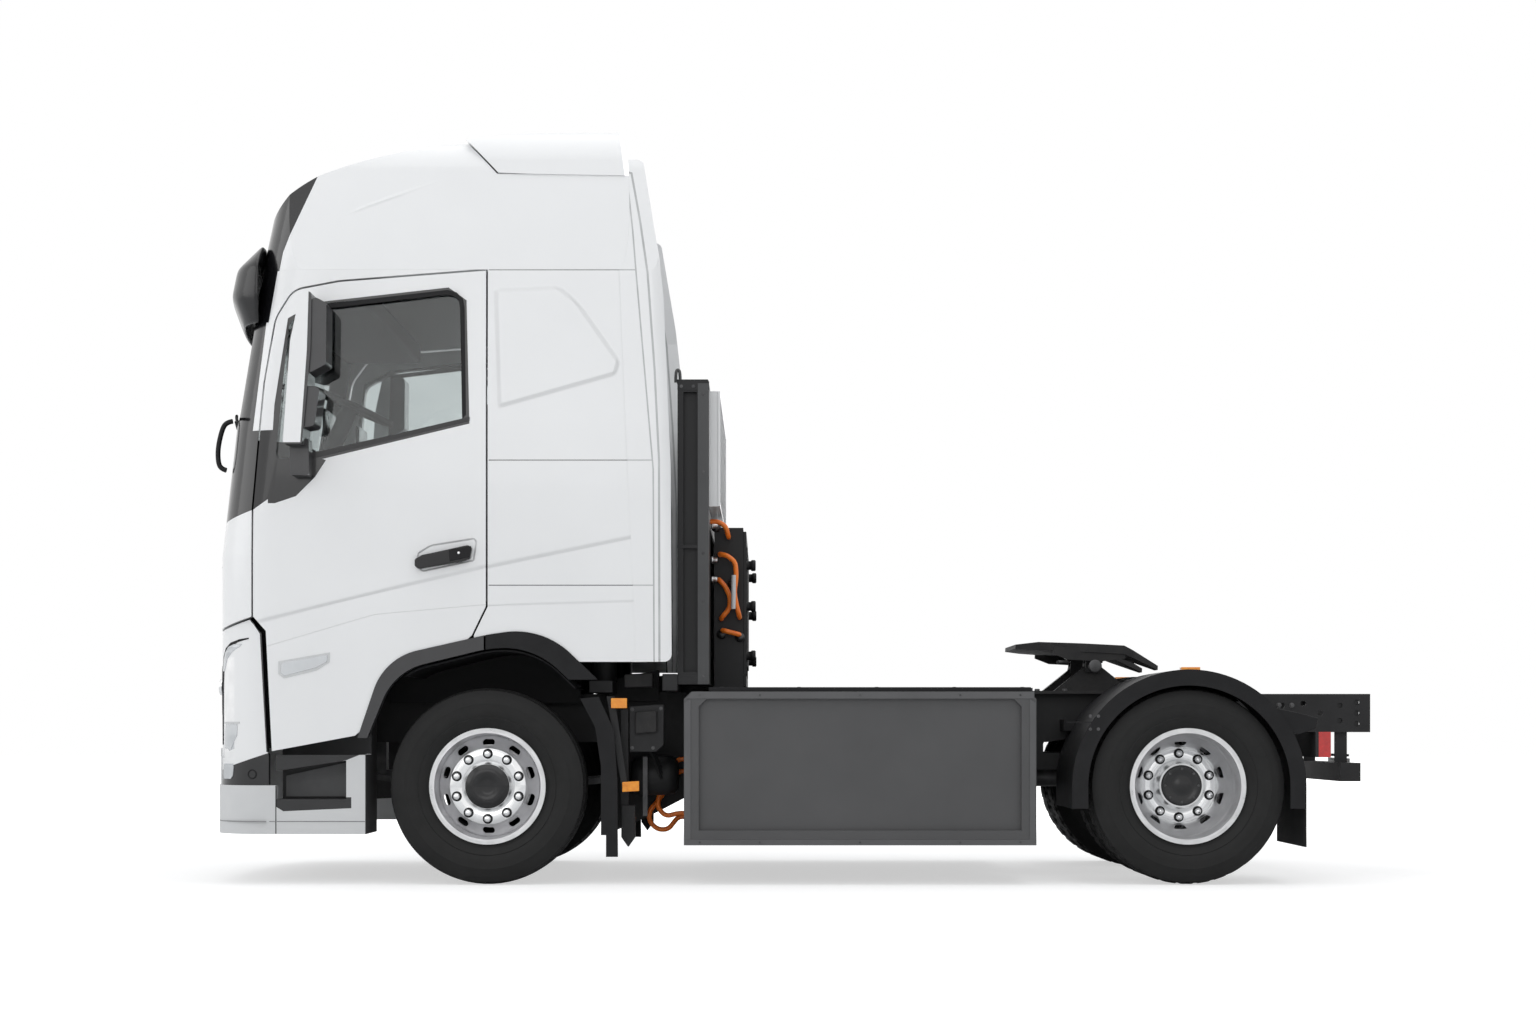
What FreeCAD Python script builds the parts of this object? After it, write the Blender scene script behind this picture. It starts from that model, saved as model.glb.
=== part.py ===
import FreeCAD, Part

# Electric cab-over tractor unit with two axles, in millimetres.
# X runs to the rear, the vehicle's left side is towards -Y, and Z is up from the ground.
# The origin lies on the ground, under the middle of the vehicle's bounding box.

import math
import os
import re
from types import SimpleNamespace

from FreeCAD import Placement, Rotation, Vector

# Driving sizes in millimetres, angles in degrees
SIZES = (
    # Whole vehicle along the ground
    ("front_overhang", 1515),
    ("wheelbase", 3600),
    ("rear_overhang", 1120),
    ("seat_gap", 0.3),
    ("running_gap", 0.1),
    ("panel_gap", 10),
    ("overrun", 400),
    # Tyres and wheels
    ("tyre_radius", 506),
    ("tyre_width", 315),
    ("tyre_tread_width", 270),
    ("tyre_shoulder_drop", 14),
    ("bead_radius", 286),
    ("bead_width", 240),
    ("rim_flange_radius", 299),
    ("rim_barrel_radius", 262),
    ("rim_wall", 12),
    ("rim_disc_wall", 16),
    ("rim_offset", 175),
    ("disc_flat_radius", 196),
    ("vent_circle_radius", 226),
    ("vent_width", 34),
    ("vent_length", 62),
    ("vent_count", 10),
    ("front_track_half", 1042.5),
    ("rear_outer_half", 1042.5),
    ("hub_cap_radius", 115),
    ("hub_cap_depth", 42),
    ("hub_radius", 125),
    ("brake_disc_radius", 215),
    ("brake_disc_wall", 45),
    ("front_disc_reach", 92),
    # Frame
    ("frame_half_width", 425),
    ("rail_flange", 80),
    ("rail_wall", 9),
    ("rail_height", 262),
    ("rail_tail_height", 208),
    ("frame_top", 992),
    ("rail_front_reach", 1250),
    ("rail_taper_start", 2960),
    ("rail_taper_end", 3300),
    ("rail_hole_radius", 15),
    ("crossmember_width", 120),
    # Front axle, knuckles and steering
    ("kingpin_half", 922.5),
    ("kingpin_radius", 25),
    ("kingpin_eye_radius", 48),
    ("kingpin_eye_height", 120),
    ("axle_drop", 120),
    ("axle_beam_width", 92),
    ("axle_beam_height", 110),
    ("spring_centre_half", 385),
    ("knuckle_ear_wall", 34),
    ("knuckle_width", 110),
    ("spindle_radius", 42),
    ("steer_arm_length", 190),
    ("steer_arm_width", 50),
    ("tie_rod_radius", 19),
    ("tie_rod_drop", 100),
    ("tie_pin_radius", 14),
    ("tie_pin_gap", 3),
    ("leaf_width", 90),
    ("leaf_thickness", 34),
    ("spring_half_span", 820),
    ("spring_camber", 70),
    # Rear axle, air springs and drive
    ("axle_tube_radius", 75),
    ("axle_spindle_radius", 55),
    ("axle_housing_radius", 210),
    ("axle_housing_width", 330),
    ("air_spring_radius", 135),
    ("air_spring_offset", 420),
    ("trailing_arm_width", 90),
    ("trailing_arm_height", 90),
    ("trailing_arm_length", 1350),
    ("motor_length", 640),
    ("motor_height", 470),
    ("motor_width", 640),
    ("motor_reach", 700),
    ("motor_bottom", 470),
    ("shaft_radius", 60),
    # Battery boxes
    ("battery_front_reach", 1011),
    ("battery_rear_gap", 184),
    ("battery_bottom", 205),
    ("battery_inner_half", 470),
    ("battery_outer_half", 1220),
    ("battery_rail", 38),
    ("battery_recess", 26),
    # Deck plate
    ("deck_thickness", 20),
    ("deck_half_width", 1190),
    ("deck_front_reach", 1150),
    ("deck_clearance", 38),
    # Equipment tower behind the cab
    ("tower_front_reach", 975),
    ("tower_depth", 160),
    ("tower_bottom", 1035),
    ("tower_top", 2600),
    ("tower_half_width", 1120),
    ("tower_post", 60),
    ("tower_recess", 30),
    ("power_unit_reach", 1155),
    ("power_unit_depth", 155),
    ("power_unit_top", 1880),
    ("power_unit_half_width", 620),
    ("cooler_depth", 45),
    ("cooler_bottom", 1960),
    ("cooler_top", 2560),
    ("cooler_half_width", 1000),
    ("cable_radius", 13),
    # Fifth wheel
    ("fifth_wheel_reach", 3218),
    ("fifth_wheel_top", 1262),
    ("plate_half_width", 470),
    ("plate_front_length", 420),
    ("plate_rear_length", 360),
    ("plate_thickness", 46),
    ("plate_slot_width", 110),
    ("plate_mouth_width", 560),
    ("kingpin_slot_radius", 25.6),
    ("plate_pin_radius", 25),
    ("plate_pin_drop", 120),
    ("plate_ramp_drop", 96),
    ("plate_rib_depth", 92),
    ("plate_rib_wall", 26),
    ("plate_tilt", 3),
    ("pedestal_half", 330),
    ("pedestal_width", 70),
    ("base_plate_thickness", 16),
    ("base_plate_length", 760),
    # Cab outside
    ("cab_setback", 15),
    ("cab_rear_reach", 857),
    ("cab_half_width", 1250),
    ("cab_top", 3865),
    ("cab_wall", 60),
    ("cab_front_radius", 5000),
    ("cab_corner_radius", 280),
    ("cab_rear_radius", 70),
    ("roof_corner_radius", 230),
    ("roof_seam", 3150),
    ("deflector_top", 3925),
    ("seam_front_height", 1278),
    ("seam_door_height", 1374),
    ("seam_door_inset", 310),
    ("grille_half_width", 800),
    ("grille_bottom", 952),
    ("grille_wall", 40),
    ("floor_bottom", 1385),
    ("floor_thickness", 60),
    ("cab_side_bottom", 1144),
    ("windscreen_wall", 8),
    ("windscreen_inset", 10),
    ("windscreen_bottom", 2372),
    ("windscreen_top", 3050),
    ("windscreen_half_width", 1080),
    ("windscreen_corner_radius", 70),
    ("skirt_wall", 20),
    ("door_glass_wall", 6),
    ("door_glass_inset", 18),
    ("fairing_wall", 26),
    ("visor_wall", 16),
    ("liner_wall", 8),
    ("liner_inner_half", 500),
    ("liner_outer_half", 1180),
    ("liner_front_bottom", 1072),
    ("liner_wall_bottom", 940),
    ("liner_rear_bottom", 1010),
    # Cab tilt hinge
    ("tilt_inset", 138),
    ("tilt_height", 750),
    ("tilt_pin_radius", 20),
    ("tilt_arm_half", 505),
    ("tilt_arm_wall", 40),
    ("tilt_arm_width", 110),
    # Room for the doors' front edges as they swing in
    ("dash_door_room", 80),
    ("floor_door_room", 35),
    ("trim_bottom", 755),
    ("trim_rear_bottom", 1053),
    # Front end on the chassis
    ("fixed_half_width", 1214),
    ("panel_wall", 40),
    ("panel_inner_half", 812),
    ("panel_rear_inset", 385),
    ("panel_door_room", 30),
    ("panel_bottom", 512),
    ("bumper_bottom", 262),
    ("bumper_top", 892),
    ("intake_bottom", 700),
    ("intake_inner_half", 455),
    ("step_front_inset", 422),
    ("step_rear_reach", 617),
    ("step_top", 668),
    ("step_inner_half", 860),
    ("headlamp_wall", 14),
    # Mudguards
    ("fender_radius", 600),
    ("fender_wall", 8),
    ("fender_lip", 82),
    ("fender_lip_wall", 14),
    ("fender_inner_half", 520),
    ("fender_outer_half", 1215),
    ("fender_bottom", 392),
    ("fender_strut", 60),
    ("guard_inner_half", 700),
    ("guard_outer_half", 1190),
    ("guard_wall", 8),
    ("guard_depth", 100),
    ("flap_wall", 8),
    # Rear end
    ("underrun_height", 100),
    ("underrun_bottom", 518),
    ("underrun_depth", 110),
    ("underrun_reach", 935),
    ("underrun_half_width", 520),
    ("hanger_wall", 16),
    ("lamp_width", 360),
    ("lamp_height", 130),
    ("lamp_depth", 62),
    ("lamp_bottom", 656),
    # Mirrors
    ("mirror_half_width", 1452),
    ("mirror_width", 190),
    ("mirror_depth", 88),
    ("mirror_edge", 14),
    # Cab inside
    ("seat_half", 620),
    ("seat_width", 520),
    ("seat_length", 500),
    ("seat_back_height", 760),
    ("seat_pad", 130),
    ("seat_height", 430),
    ("bunk_width", 620),
    ("bunk_height", 520),
    ("bunk_pad", 130),
    ("steering_wheel_radius", 225),
    ("steering_rim_radius", 16),
    ("steering_column_radius", 45),
    ("steering_column_length", 430),
    ("steering_column_tilt", 24),
)

DOCUMENT = FreeCAD.newDocument("tractor_unit")
SHEET = DOCUMENT.addObject("Spreadsheet::Sheet", "Sizes")


def fill_sheet():
    """Writes every driving size into its own named cell and reads them back."""
    for row, (alias, value) in enumerate(SIZES, start=1):
        cell = "B" + str(row)
        SHEET.set("A" + str(row), alias)
        SHEET.set(cell, str(value))
        SHEET.setAlias(cell, alias)
    DOCUMENT.recompute()
    return SimpleNamespace(**{alias: float(SHEET.get(alias)) for alias, value in SIZES})


D = fill_sheet()
ALIASES = {alias for alias, value in SIZES}
HALF_LENGTH = (D.front_overhang + D.wheelbase + D.rear_overhang) / 2
FRONT_AXLE = D.front_overhang - HALF_LENGTH
REAR_AXLE = FRONT_AXLE + D.wheelbase
REAR_END = HALF_LENGTH
RAIL_BOTTOM = D.frame_top - D.rail_height
TAIL_BOTTOM = D.frame_top - D.rail_tail_height
NODES = []

# Reaches that follow from the sizes above
D.cab_front_reach = D.front_overhang - D.cab_setback
D.seam_door_reach = D.cab_front_reach - D.seam_door_inset
D.tilt_reach = D.cab_front_reach - D.tilt_inset
D.panel_rear_reach = D.cab_front_reach - D.panel_rear_inset
D.step_front_reach = D.cab_front_reach - D.step_front_inset
D.battery_rear_reach = D.wheelbase - D.fender_radius - D.battery_rear_gap


def bind(item, rules):
    """Ties properties to rules written with the sheet's names."""
    for name, rule in rules.items():
        text = re.sub(r"[a-z_]+[a-z0-9_]*",
                      lambda word: "Sizes." + word.group(0) if word.group(0) in ALIASES
                      else word.group(0), rule)
        item.setExpression(name, text)
    return item


def behind(reach):
    """The X of a place that lies this far behind the front axle."""
    return FRONT_AXLE + reach


def ahead(reach):
    """The X of a place that lies this far ahead of the front axle."""
    return FRONT_AXLE - reach


def spread(shares, start, reach, base, height):
    """Outline points from shares of a length and a height; a third share is a radius."""
    points = []
    for share in shares:
        point = [start + share[0] * reach, base + share[1] * height]
        if len(share) > 2:
            point.append(share[2] * height)
        points.append(tuple(point))
    return points


def rectangle(low_a, high_a, low_b, high_b, radius=0):
    corners = [(low_a, low_b), (high_a, low_b), (high_a, high_b), (low_a, high_b)]
    if radius:
        return [(a, b, radius) for a, b in corners]
    return corners


def rounded_curves(points):
    """Lines and arcs of a closed outline, with an arc where a point has a radius."""
    corners = []
    for index, point in enumerate(points):
        here = Vector(point[0], point[1], 0)
        if len(point) < 3:
            corners.append((here, None, here))
            continue
        before = points[index - 1]
        after = points[(index + 1) % len(points)]
        to_before = (Vector(before[0], before[1], 0) - here).normalize()
        to_after = (Vector(after[0], after[1], 0) - here).normalize()
        half = to_before.getAngle(to_after) / 2
        reach = point[2] / math.tan(half)
        inward = (to_before + to_after).normalize()
        middle = here + inward * (point[2] / math.sin(half) - point[2])
        corners.append((here + to_before * reach, middle, here + to_after * reach))
    curves = []
    for index, (start, middle, end) in enumerate(corners):
        following = corners[(index + 1) % len(corners)][0]
        if middle is not None:
            curves.append(Part.Arc(start, middle, end))
        if not following.isEqual(end, D.running_gap / 100):
            curves.append(Part.LineSegment(end, following))
    return curves


def prism(points, normal, low, high):
    """Solid of an outline across "x" (points are y, z), "y" (x, z) or "z" (x, y)."""
    face = Part.Face(Part.Wire([curve.toShape() for curve in rounded_curves(points)]))
    turns = {
        "x": Placement(Vector(low, 0, 0), Rotation(Vector(0, 1, 0), Vector(0, 0, 1),
                                                   Vector(1, 0, 0), "XYZ")),
        "y": Placement(Vector(0, low, 0), Rotation(Vector(1, 0, 0), Vector(0, 0, 1),
                                                   Vector(0, -1, 0), "XYZ")),
        "z": Placement(Vector(0, 0, low), Rotation()),
    }
    along = {"x": Vector(1, 0, 0), "y": Vector(0, 1, 0), "z": Vector(0, 0, 1)}
    face.Placement = turns[normal]
    return face.extrude(along[normal] * (high - low))


def box(low_x, high_x, low_y, high_y, low_z, high_z):
    return Part.makeBox(high_x - low_x, high_y - low_y, high_z - low_z,
                        Vector(low_x, low_y, low_z))


def plane_of(body, role):
    return [feature for feature in body.Origin.OriginFeatures if feature.Role == role][0]


def sketch_on(body, role, outlines, offset=0.0):
    """A sketch of closed outlines on one of the body's own origin planes."""
    sketch = body.newObject("Sketcher::SketchObject", body.Name + "_sketch")
    sketch.AttachmentSupport = [(plane_of(body, role), "")]
    sketch.MapMode = "FlatFace"
    sketch.AttachmentOffset = Placement(Vector(0, 0, offset), Rotation())
    for outline in outlines:
        for curve in outline:
            sketch.addGeometry(curve, False)
    return sketch


def circle(centre_a, centre_b, radius):
    return [Part.Circle(Vector(centre_a, centre_b, 0), Vector(0, 0, 1), radius)]


def new_body(name):
    return DOCUMENT.addObject("PartDesign::Body", name)


def pad(body, role, outlines, rule, offset=0.0):
    """Adds a pad that runs evenly to both sides of the offset sketch."""
    sketch = sketch_on(body, role, outlines, offset)
    feature = body.newObject("PartDesign::Pad", body.Name + "_pad")
    feature.Profile = sketch
    feature.SideType = "Symmetric"
    bind(feature, {"Length": rule})
    DOCUMENT.recompute()
    return feature


def pocket(body, role, outlines, rule, offset=0.0):
    """Cuts evenly to both sides of the offset sketch."""
    sketch = sketch_on(body, role, outlines, offset)
    feature = body.newObject("PartDesign::Pocket", body.Name + "_pocket")
    feature.Profile = sketch
    feature.SideType = "Symmetric"
    bind(feature, {"Length": rule})
    DOCUMENT.recompute()
    return feature


def revolve(body, points):
    """Turns an outline of (y, radius) points about the body's own Y axis."""
    sketch = sketch_on(body, "YZ_Plane", [rounded_curves(points)])
    feature = body.newObject("PartDesign::Revolution", body.Name + "_turn")
    feature.Profile = sketch
    feature.ReferenceAxis = (sketch, ["H_Axis"])
    feature.Angle = 360
    DOCUMENT.recompute()
    return feature


def mirrored(source):
    """The same piece on the other side of the vehicle."""
    twin = DOCUMENT.addObject("Part::Mirroring", source.Name + "_twin")
    twin.Source = source
    twin.Normal = (0, 1, 0)
    twin.Base = (0, 0, 0)
    return twin


def group(label, pieces):
    whole = DOCUMENT.addObject("Part::Compound", label)
    whole.Links = pieces
    return node(label, whole)


def joined(name, pieces):
    whole = DOCUMENT.addObject("Part::MultiFuse", name)
    whole.Shapes = pieces
    return whole


def less(name, base, tool):
    rest = DOCUMENT.addObject("Part::Cut", name)
    rest.Base = base
    rest.Tool = tool
    return rest


def node(label, item):
    """Marks an object as a sub-part that is written to its own file."""
    item.Label = label
    NODES.append(item)
    return item


def shaped(label, shape):
    """A piece whose form comes from crossing curved volumes."""
    item = DOCUMENT.addObject("Part::Feature", label)
    item.Shape = shape
    item.Placement = Placement()
    return item


def block(name, rules, place):
    """A box with bound sizes, its low corner at place."""
    item = DOCUMENT.addObject("Part::Box", name)
    bind(item, dict(zip(("Length", "Width", "Height"), rules)))
    item.Placement = Placement(Vector(*place), Rotation())
    return item


def rod(name, radius_rule, start, end):
    """A round bar between two points, its radius bound to the sheet."""
    start = Vector(*start)
    along = Vector(*end) - start
    item = DOCUMENT.addObject("Part::Cylinder", name)
    bind(item, {"Radius": radius_rule})
    item.Height = along.Length
    item.Placement = Placement(start, Rotation(Vector(0, 0, 1), along))
    return item


# Tyres and wheels

def tyre(name, place):
    """A tyre ring with crowned tread, rounded shoulders and bulged side walls."""
    body = new_body(name)
    half = D.tyre_width / 2
    tread = D.tyre_tread_width / 2
    bead = D.bead_width / 2
    shoulder = D.tyre_radius - D.tyre_shoulder_drop
    wall_height = D.tyre_radius - D.bead_radius
    clear = D.rim_flange_radius + D.rim_wall
    revolve(body, [
        (-bead, clear), (-bead, D.bead_radius), (bead, D.bead_radius), (bead, clear),
        (half, D.bead_radius + wall_height / 2), (tread, shoulder),
        (tread / 2, D.tyre_radius), (-tread / 2, D.tyre_radius),
        (-tread, shoulder), (-half, D.bead_radius + wall_height / 2),
    ])
    body.Placement = Placement(Vector(*place), Rotation())
    return body


def rim_outline(centre):
    """Closed half-section of one rim's drop-centre barrel, as (y, radius)."""
    half = D.bead_width / 2
    barrel = D.rim_barrel_radius
    wall = D.rim_wall
    seat = D.bead_radius - D.seat_gap
    flange = D.rim_flange_radius
    return [
        (centre - half - wall, flange), (centre - half - D.seat_gap, flange),
        (centre - half - D.seat_gap, seat), (centre - half / 2, seat),
        (centre - half / 4, barrel + wall), (centre + half / 2, barrel + wall),
        (centre + half / 2 + wall, seat), (centre + half + D.seat_gap, seat),
        (centre + half + D.seat_gap, flange), (centre + half + wall, flange),
        (centre + half + wall, seat - wall), (centre + half / 2 + 2 * wall, seat - wall),
        (centre + half / 2 + wall, barrel), (centre, barrel), (centre - half / 4, barrel),
        (centre - half / 2, seat - wall), (centre - half - wall, seat - wall),
    ]


def wheel(name, place, side, rings, disc, hub_inner, hub_outer, bore):
    """Rims, disc, hub and brake disc of one wheel; side is +1 when outboard is +Y."""
    body = new_body(name)
    for centre in rings:
        revolve(body, rim_outline(side * centre))
    wall = D.rim_disc_wall
    barrel = D.rim_barrel_radius
    for sign, centre in ((1, rings[0]), (-1, rings[-1])):
        if len(rings) == 1 and sign < 0:
            continue
        root = centre if len(rings) == 1 else centre - sign * D.bead_width / 8
        back = disc if sign > 0 or len(rings) == 1 else disc - wall
        front = back + wall
        revolve(body, [
            (side * back, D.hub_radius), (side * back, D.disc_flat_radius),
            (side * root, barrel), (side * (root + wall), barrel + wall / 2),
            (side * front, D.disc_flat_radius), (side * front, D.hub_radius),
        ])
    revolve(body, [
        (side * hub_inner, bore), (side * hub_inner, D.hub_radius),
        (side * (disc - wall), D.hub_radius), (side * (disc - wall), D.disc_flat_radius),
        (side * (disc + wall), D.disc_flat_radius), (side * (disc + wall), D.hub_cap_radius + wall),
        (side * hub_outer, D.hub_cap_radius), (side * hub_outer, 0),
        (side * (hub_outer - wall), 0), (side * (hub_outer - wall), bore),
    ])
    revolve(body, [
        (side * hub_inner, D.hub_radius - wall), (side * hub_inner, D.brake_disc_radius),
        (side * (hub_inner + D.brake_disc_wall), D.brake_disc_radius),
        (side * (hub_inner + D.brake_disc_wall), D.hub_radius - wall),
    ])
    half_wide = D.vent_width / 2
    long = D.vent_length / 2
    slots = sketch_on(body, "XZ_Plane", [rounded_curves([
        (-long, D.vent_circle_radius - half_wide, half_wide * 0.98),
        (long, D.vent_circle_radius - half_wide, half_wide * 0.98),
        (long, D.vent_circle_radius + half_wide, half_wide * 0.98),
        (-long, D.vent_circle_radius + half_wide, half_wide * 0.98),
    ])], -side * disc)
    vents = body.newObject("PartDesign::Pocket", body.Name + "_vents")
    vents.Profile = slots
    vents.SideType = "Symmetric"
    bind(vents, {"Length": "bead_width * 2 / 3"})
    DOCUMENT.recompute()
    ring = body.newObject("PartDesign::PolarPattern", body.Name + "_ring")
    ring.Originals = [vents]
    ring.Axis = (slots, ["N_Axis"])
    ring.Angle = 360
    ring.Occurrences = int(D.vent_count)
    body.Tip = ring
    DOCUMENT.recompute()
    body.Placement = Placement(Vector(*place), Rotation())
    return body


def add_wheels():
    for side, word in ((-1, "left"), (1, "right")):
        front = (FRONT_AXLE, side * D.front_track_half, D.tyre_radius)
        node("tyre_front_" + word, tyre("tyre_front_" + word, front))
        hub_inner = -D.front_disc_reach / 4
        node("wheel_front_" + word, wheel(
            "wheel_front_" + word, front, side, [0], D.front_disc_reach, hub_inner,
            D.front_disc_reach + D.hub_cap_depth, D.spindle_radius + D.running_gap))
        middle = D.rear_outer_half - D.rim_offset
        rear = (REAR_AXLE, side * middle, D.tyre_radius)
        outer = tyre("tyre_outer_" + word, (REAR_AXLE, side * D.rear_outer_half, D.tyre_radius))
        inner = tyre("tyre_inner_" + word,
                     (REAR_AXLE, side * (middle - D.rim_offset), D.tyre_radius))
        group("tyres_rear_" + word, [outer, inner])
        node("wheels_rear_" + word, wheel(
            "wheels_rear_" + word, rear, side, [D.rim_offset, -D.rim_offset], 0,
            -D.rim_offset, D.rim_offset * 0.6, D.axle_spindle_radius + D.running_gap))


# Front axle, knuckles and steering linkage

def add_front_axle():
    pin_z = D.tyre_radius
    beam = pin_z - D.axle_drop
    height = D.axle_beam_height
    eye_in = D.kingpin_half - D.kingpin_eye_radius / 2
    seat = D.spring_centre_half + D.leaf_width
    body = new_body("axle_beam")
    low = beam - height / 2
    high = beam + height / 2
    eye_low = pin_z - D.kingpin_eye_height / 4
    eye_high = pin_z + D.kingpin_eye_height / 4
    half = [(seat, low), (eye_in - seat / 3, low + height / 4), (eye_in - seat / 6, eye_low),
            (eye_in, eye_low), (eye_in, eye_high), (eye_in - seat / 4, eye_high), (seat, high)]
    outline = half + [(-y, z) for y, z in reversed(half)]
    pad(body, "YZ_Plane", [rounded_curves(outline)], "axle_beam_width")
    body.Placement = Placement(Vector(FRONT_AXLE, 0, 0), Rotation())
    eyes = []
    for side in (-1, 1):
        low_z = pin_z - D.kingpin_eye_height / 2
        high_z = pin_z + D.kingpin_eye_height / 2
        place = side * D.kingpin_half
        eyes.append(rod("axle_eye", "kingpin_eye_radius",
                        (FRONT_AXLE, place, low_z), (FRONT_AXLE, place, high_z)))
    solid = joined("axle_solid", [body] + eyes)
    bores = []
    for side in (-1, 1):
        place = side * D.kingpin_half
        bores.append(rod("axle_bore", "kingpin_radius + running_gap",
                         (FRONT_AXLE, place, 0), (FRONT_AXLE, place, D.tyre_radius * 2)))
    both = joined("axle_bores", bores)
    node("front_axle_beam", less("front_axle_beam", solid, both))


def add_knuckles():
    pin_z = D.tyre_radius
    ear_gap = D.kingpin_eye_height / 2 + D.seat_gap
    top = pin_z + ear_gap + D.knuckle_ear_wall
    bottom = pin_z - ear_gap - D.knuckle_ear_wall
    eye = D.kingpin_eye_radius
    for side, word in ((-1, "left"), (1, "right")):
        place = side * D.kingpin_half
        wall_in = D.kingpin_half + eye + D.panel_gap
        hub_inner = D.front_track_half - D.front_disc_reach / 4
        back = box(FRONT_AXLE - D.knuckle_width / 2, FRONT_AXLE + D.knuckle_width / 2,
                   min(side * wall_in, side * (hub_inner - D.seat_gap)),
                   max(side * wall_in, side * (hub_inner - D.seat_gap)), bottom, top)
        pieces = [back]
        for low_z in (bottom, top - D.knuckle_ear_wall):
            ear = Part.makeCylinder(eye, D.knuckle_ear_wall, Vector(FRONT_AXLE, place, low_z))
            link = box(FRONT_AXLE - eye, FRONT_AXLE + eye, min(place, side * wall_in),
                       max(place, side * wall_in), low_z, low_z + D.knuckle_ear_wall)
            pieces += [ear, link]
        pieces.append(Part.makeCylinder(D.kingpin_radius, top - bottom,
                                        Vector(FRONT_AXLE, place, bottom)))
        spindle_end = D.front_track_half + D.front_disc_reach
        pieces.append(Part.makeCylinder(
            D.spindle_radius, spindle_end - wall_in,
            Vector(FRONT_AXLE, side * wall_in, pin_z), Vector(0, side, 0)))
        arm_low = bottom
        arm = box(FRONT_AXLE, FRONT_AXLE + D.steer_arm_length,
                  place - D.steer_arm_width / 2, place + D.steer_arm_width / 2,
                  arm_low, arm_low + D.knuckle_ear_wall)
        end = Part.makeCylinder(D.steer_arm_width / 2, D.knuckle_ear_wall,
                                Vector(FRONT_AXLE + D.steer_arm_length, place, arm_low))
        pieces += [arm, end]
        solid = pieces[0].multiFuse(pieces[1:]).removeSplitter()
        bore = Part.makeCylinder(D.tie_pin_radius + D.tie_pin_gap, D.knuckle_ear_wall * 3,
                                 Vector(FRONT_AXLE + D.steer_arm_length, place,
                                        arm_low - D.knuckle_ear_wall))
        node("knuckle_" + word, shaped("knuckle_" + word, solid.cut(bore)))


def add_tie_rod():
    pin_z = D.tyre_radius
    bottom = pin_z - D.kingpin_eye_height / 2 - D.seat_gap - D.knuckle_ear_wall
    reach = FRONT_AXLE + D.steer_arm_length
    lip = D.tie_rod_radius * 1.2
    low = bottom - D.seat_gap - 2 * lip
    half = D.kingpin_half
    bar = rod("tie_bar", "tie_rod_radius", (reach, -half, low + lip), (reach, half, low + lip))
    pins = []
    for side in (-1, 1):
        pins.append(rod("tie_pin", "tie_pin_radius", (reach, side * half, low + lip),
                        (reach, side * half, bottom + D.knuckle_ear_wall)))
        pins.append(rod("tie_head", "tie_rod_radius * 1.4", (reach, side * half, low),
                        (reach, side * half, bottom - D.seat_gap)))
    node("tie_rod", joined("tie_rod", [bar] + pins))


def add_suspension():
    beam_top = D.tyre_radius - D.axle_drop + D.axle_beam_height / 2
    rise = D.spring_camber
    span = D.spring_half_span
    thick = D.leaf_thickness
    springs = []
    body = new_body("leaf_spring")
    low = beam_top + thick
    end = low + rise
    top = [Vector(span, end + thick, 0), Vector(0, low + thick, 0), Vector(-span, end + thick, 0)]
    under = [Vector(-span, end, 0), Vector(0, low, 0), Vector(span, end, 0)]
    curves = [Part.Arc(*top), Part.LineSegment(top[2], under[0]), Part.Arc(*under),
              Part.LineSegment(under[2], top[0])]
    pad(body, "XZ_Plane", [curves], "leaf_width")
    body.Placement = Placement(Vector(FRONT_AXLE, -D.spring_centre_half, 0), Rotation())
    pieces = [body]
    saddle = 1.3 * D.leaf_width
    pieces.append(block("spring_saddle", ("leaf_width * 1.3", "leaf_width", "leaf_thickness"),
                        (FRONT_AXLE - saddle / 2, -D.spring_centre_half - D.leaf_width / 2,
                         beam_top)))
    for sign in (-1, 1):
        middle = FRONT_AXLE + sign * (span - thick)
        hanger = DOCUMENT.addObject("Part::Box", "spring_hanger")
        bind(hanger, {"Length": "leaf_thickness * 2", "Width": "leaf_width"})
        hanger.Height = RAIL_BOTTOM - end - thick / 2
        hanger.Placement = Placement(Vector(middle - thick, -D.spring_centre_half
                                            - D.leaf_width / 2, end + thick / 2), Rotation())
        pieces.append(hanger)
    spring = joined("front_spring", pieces)
    springs += [spring, mirrored(spring)]
    group("front_springs", springs)


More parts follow.
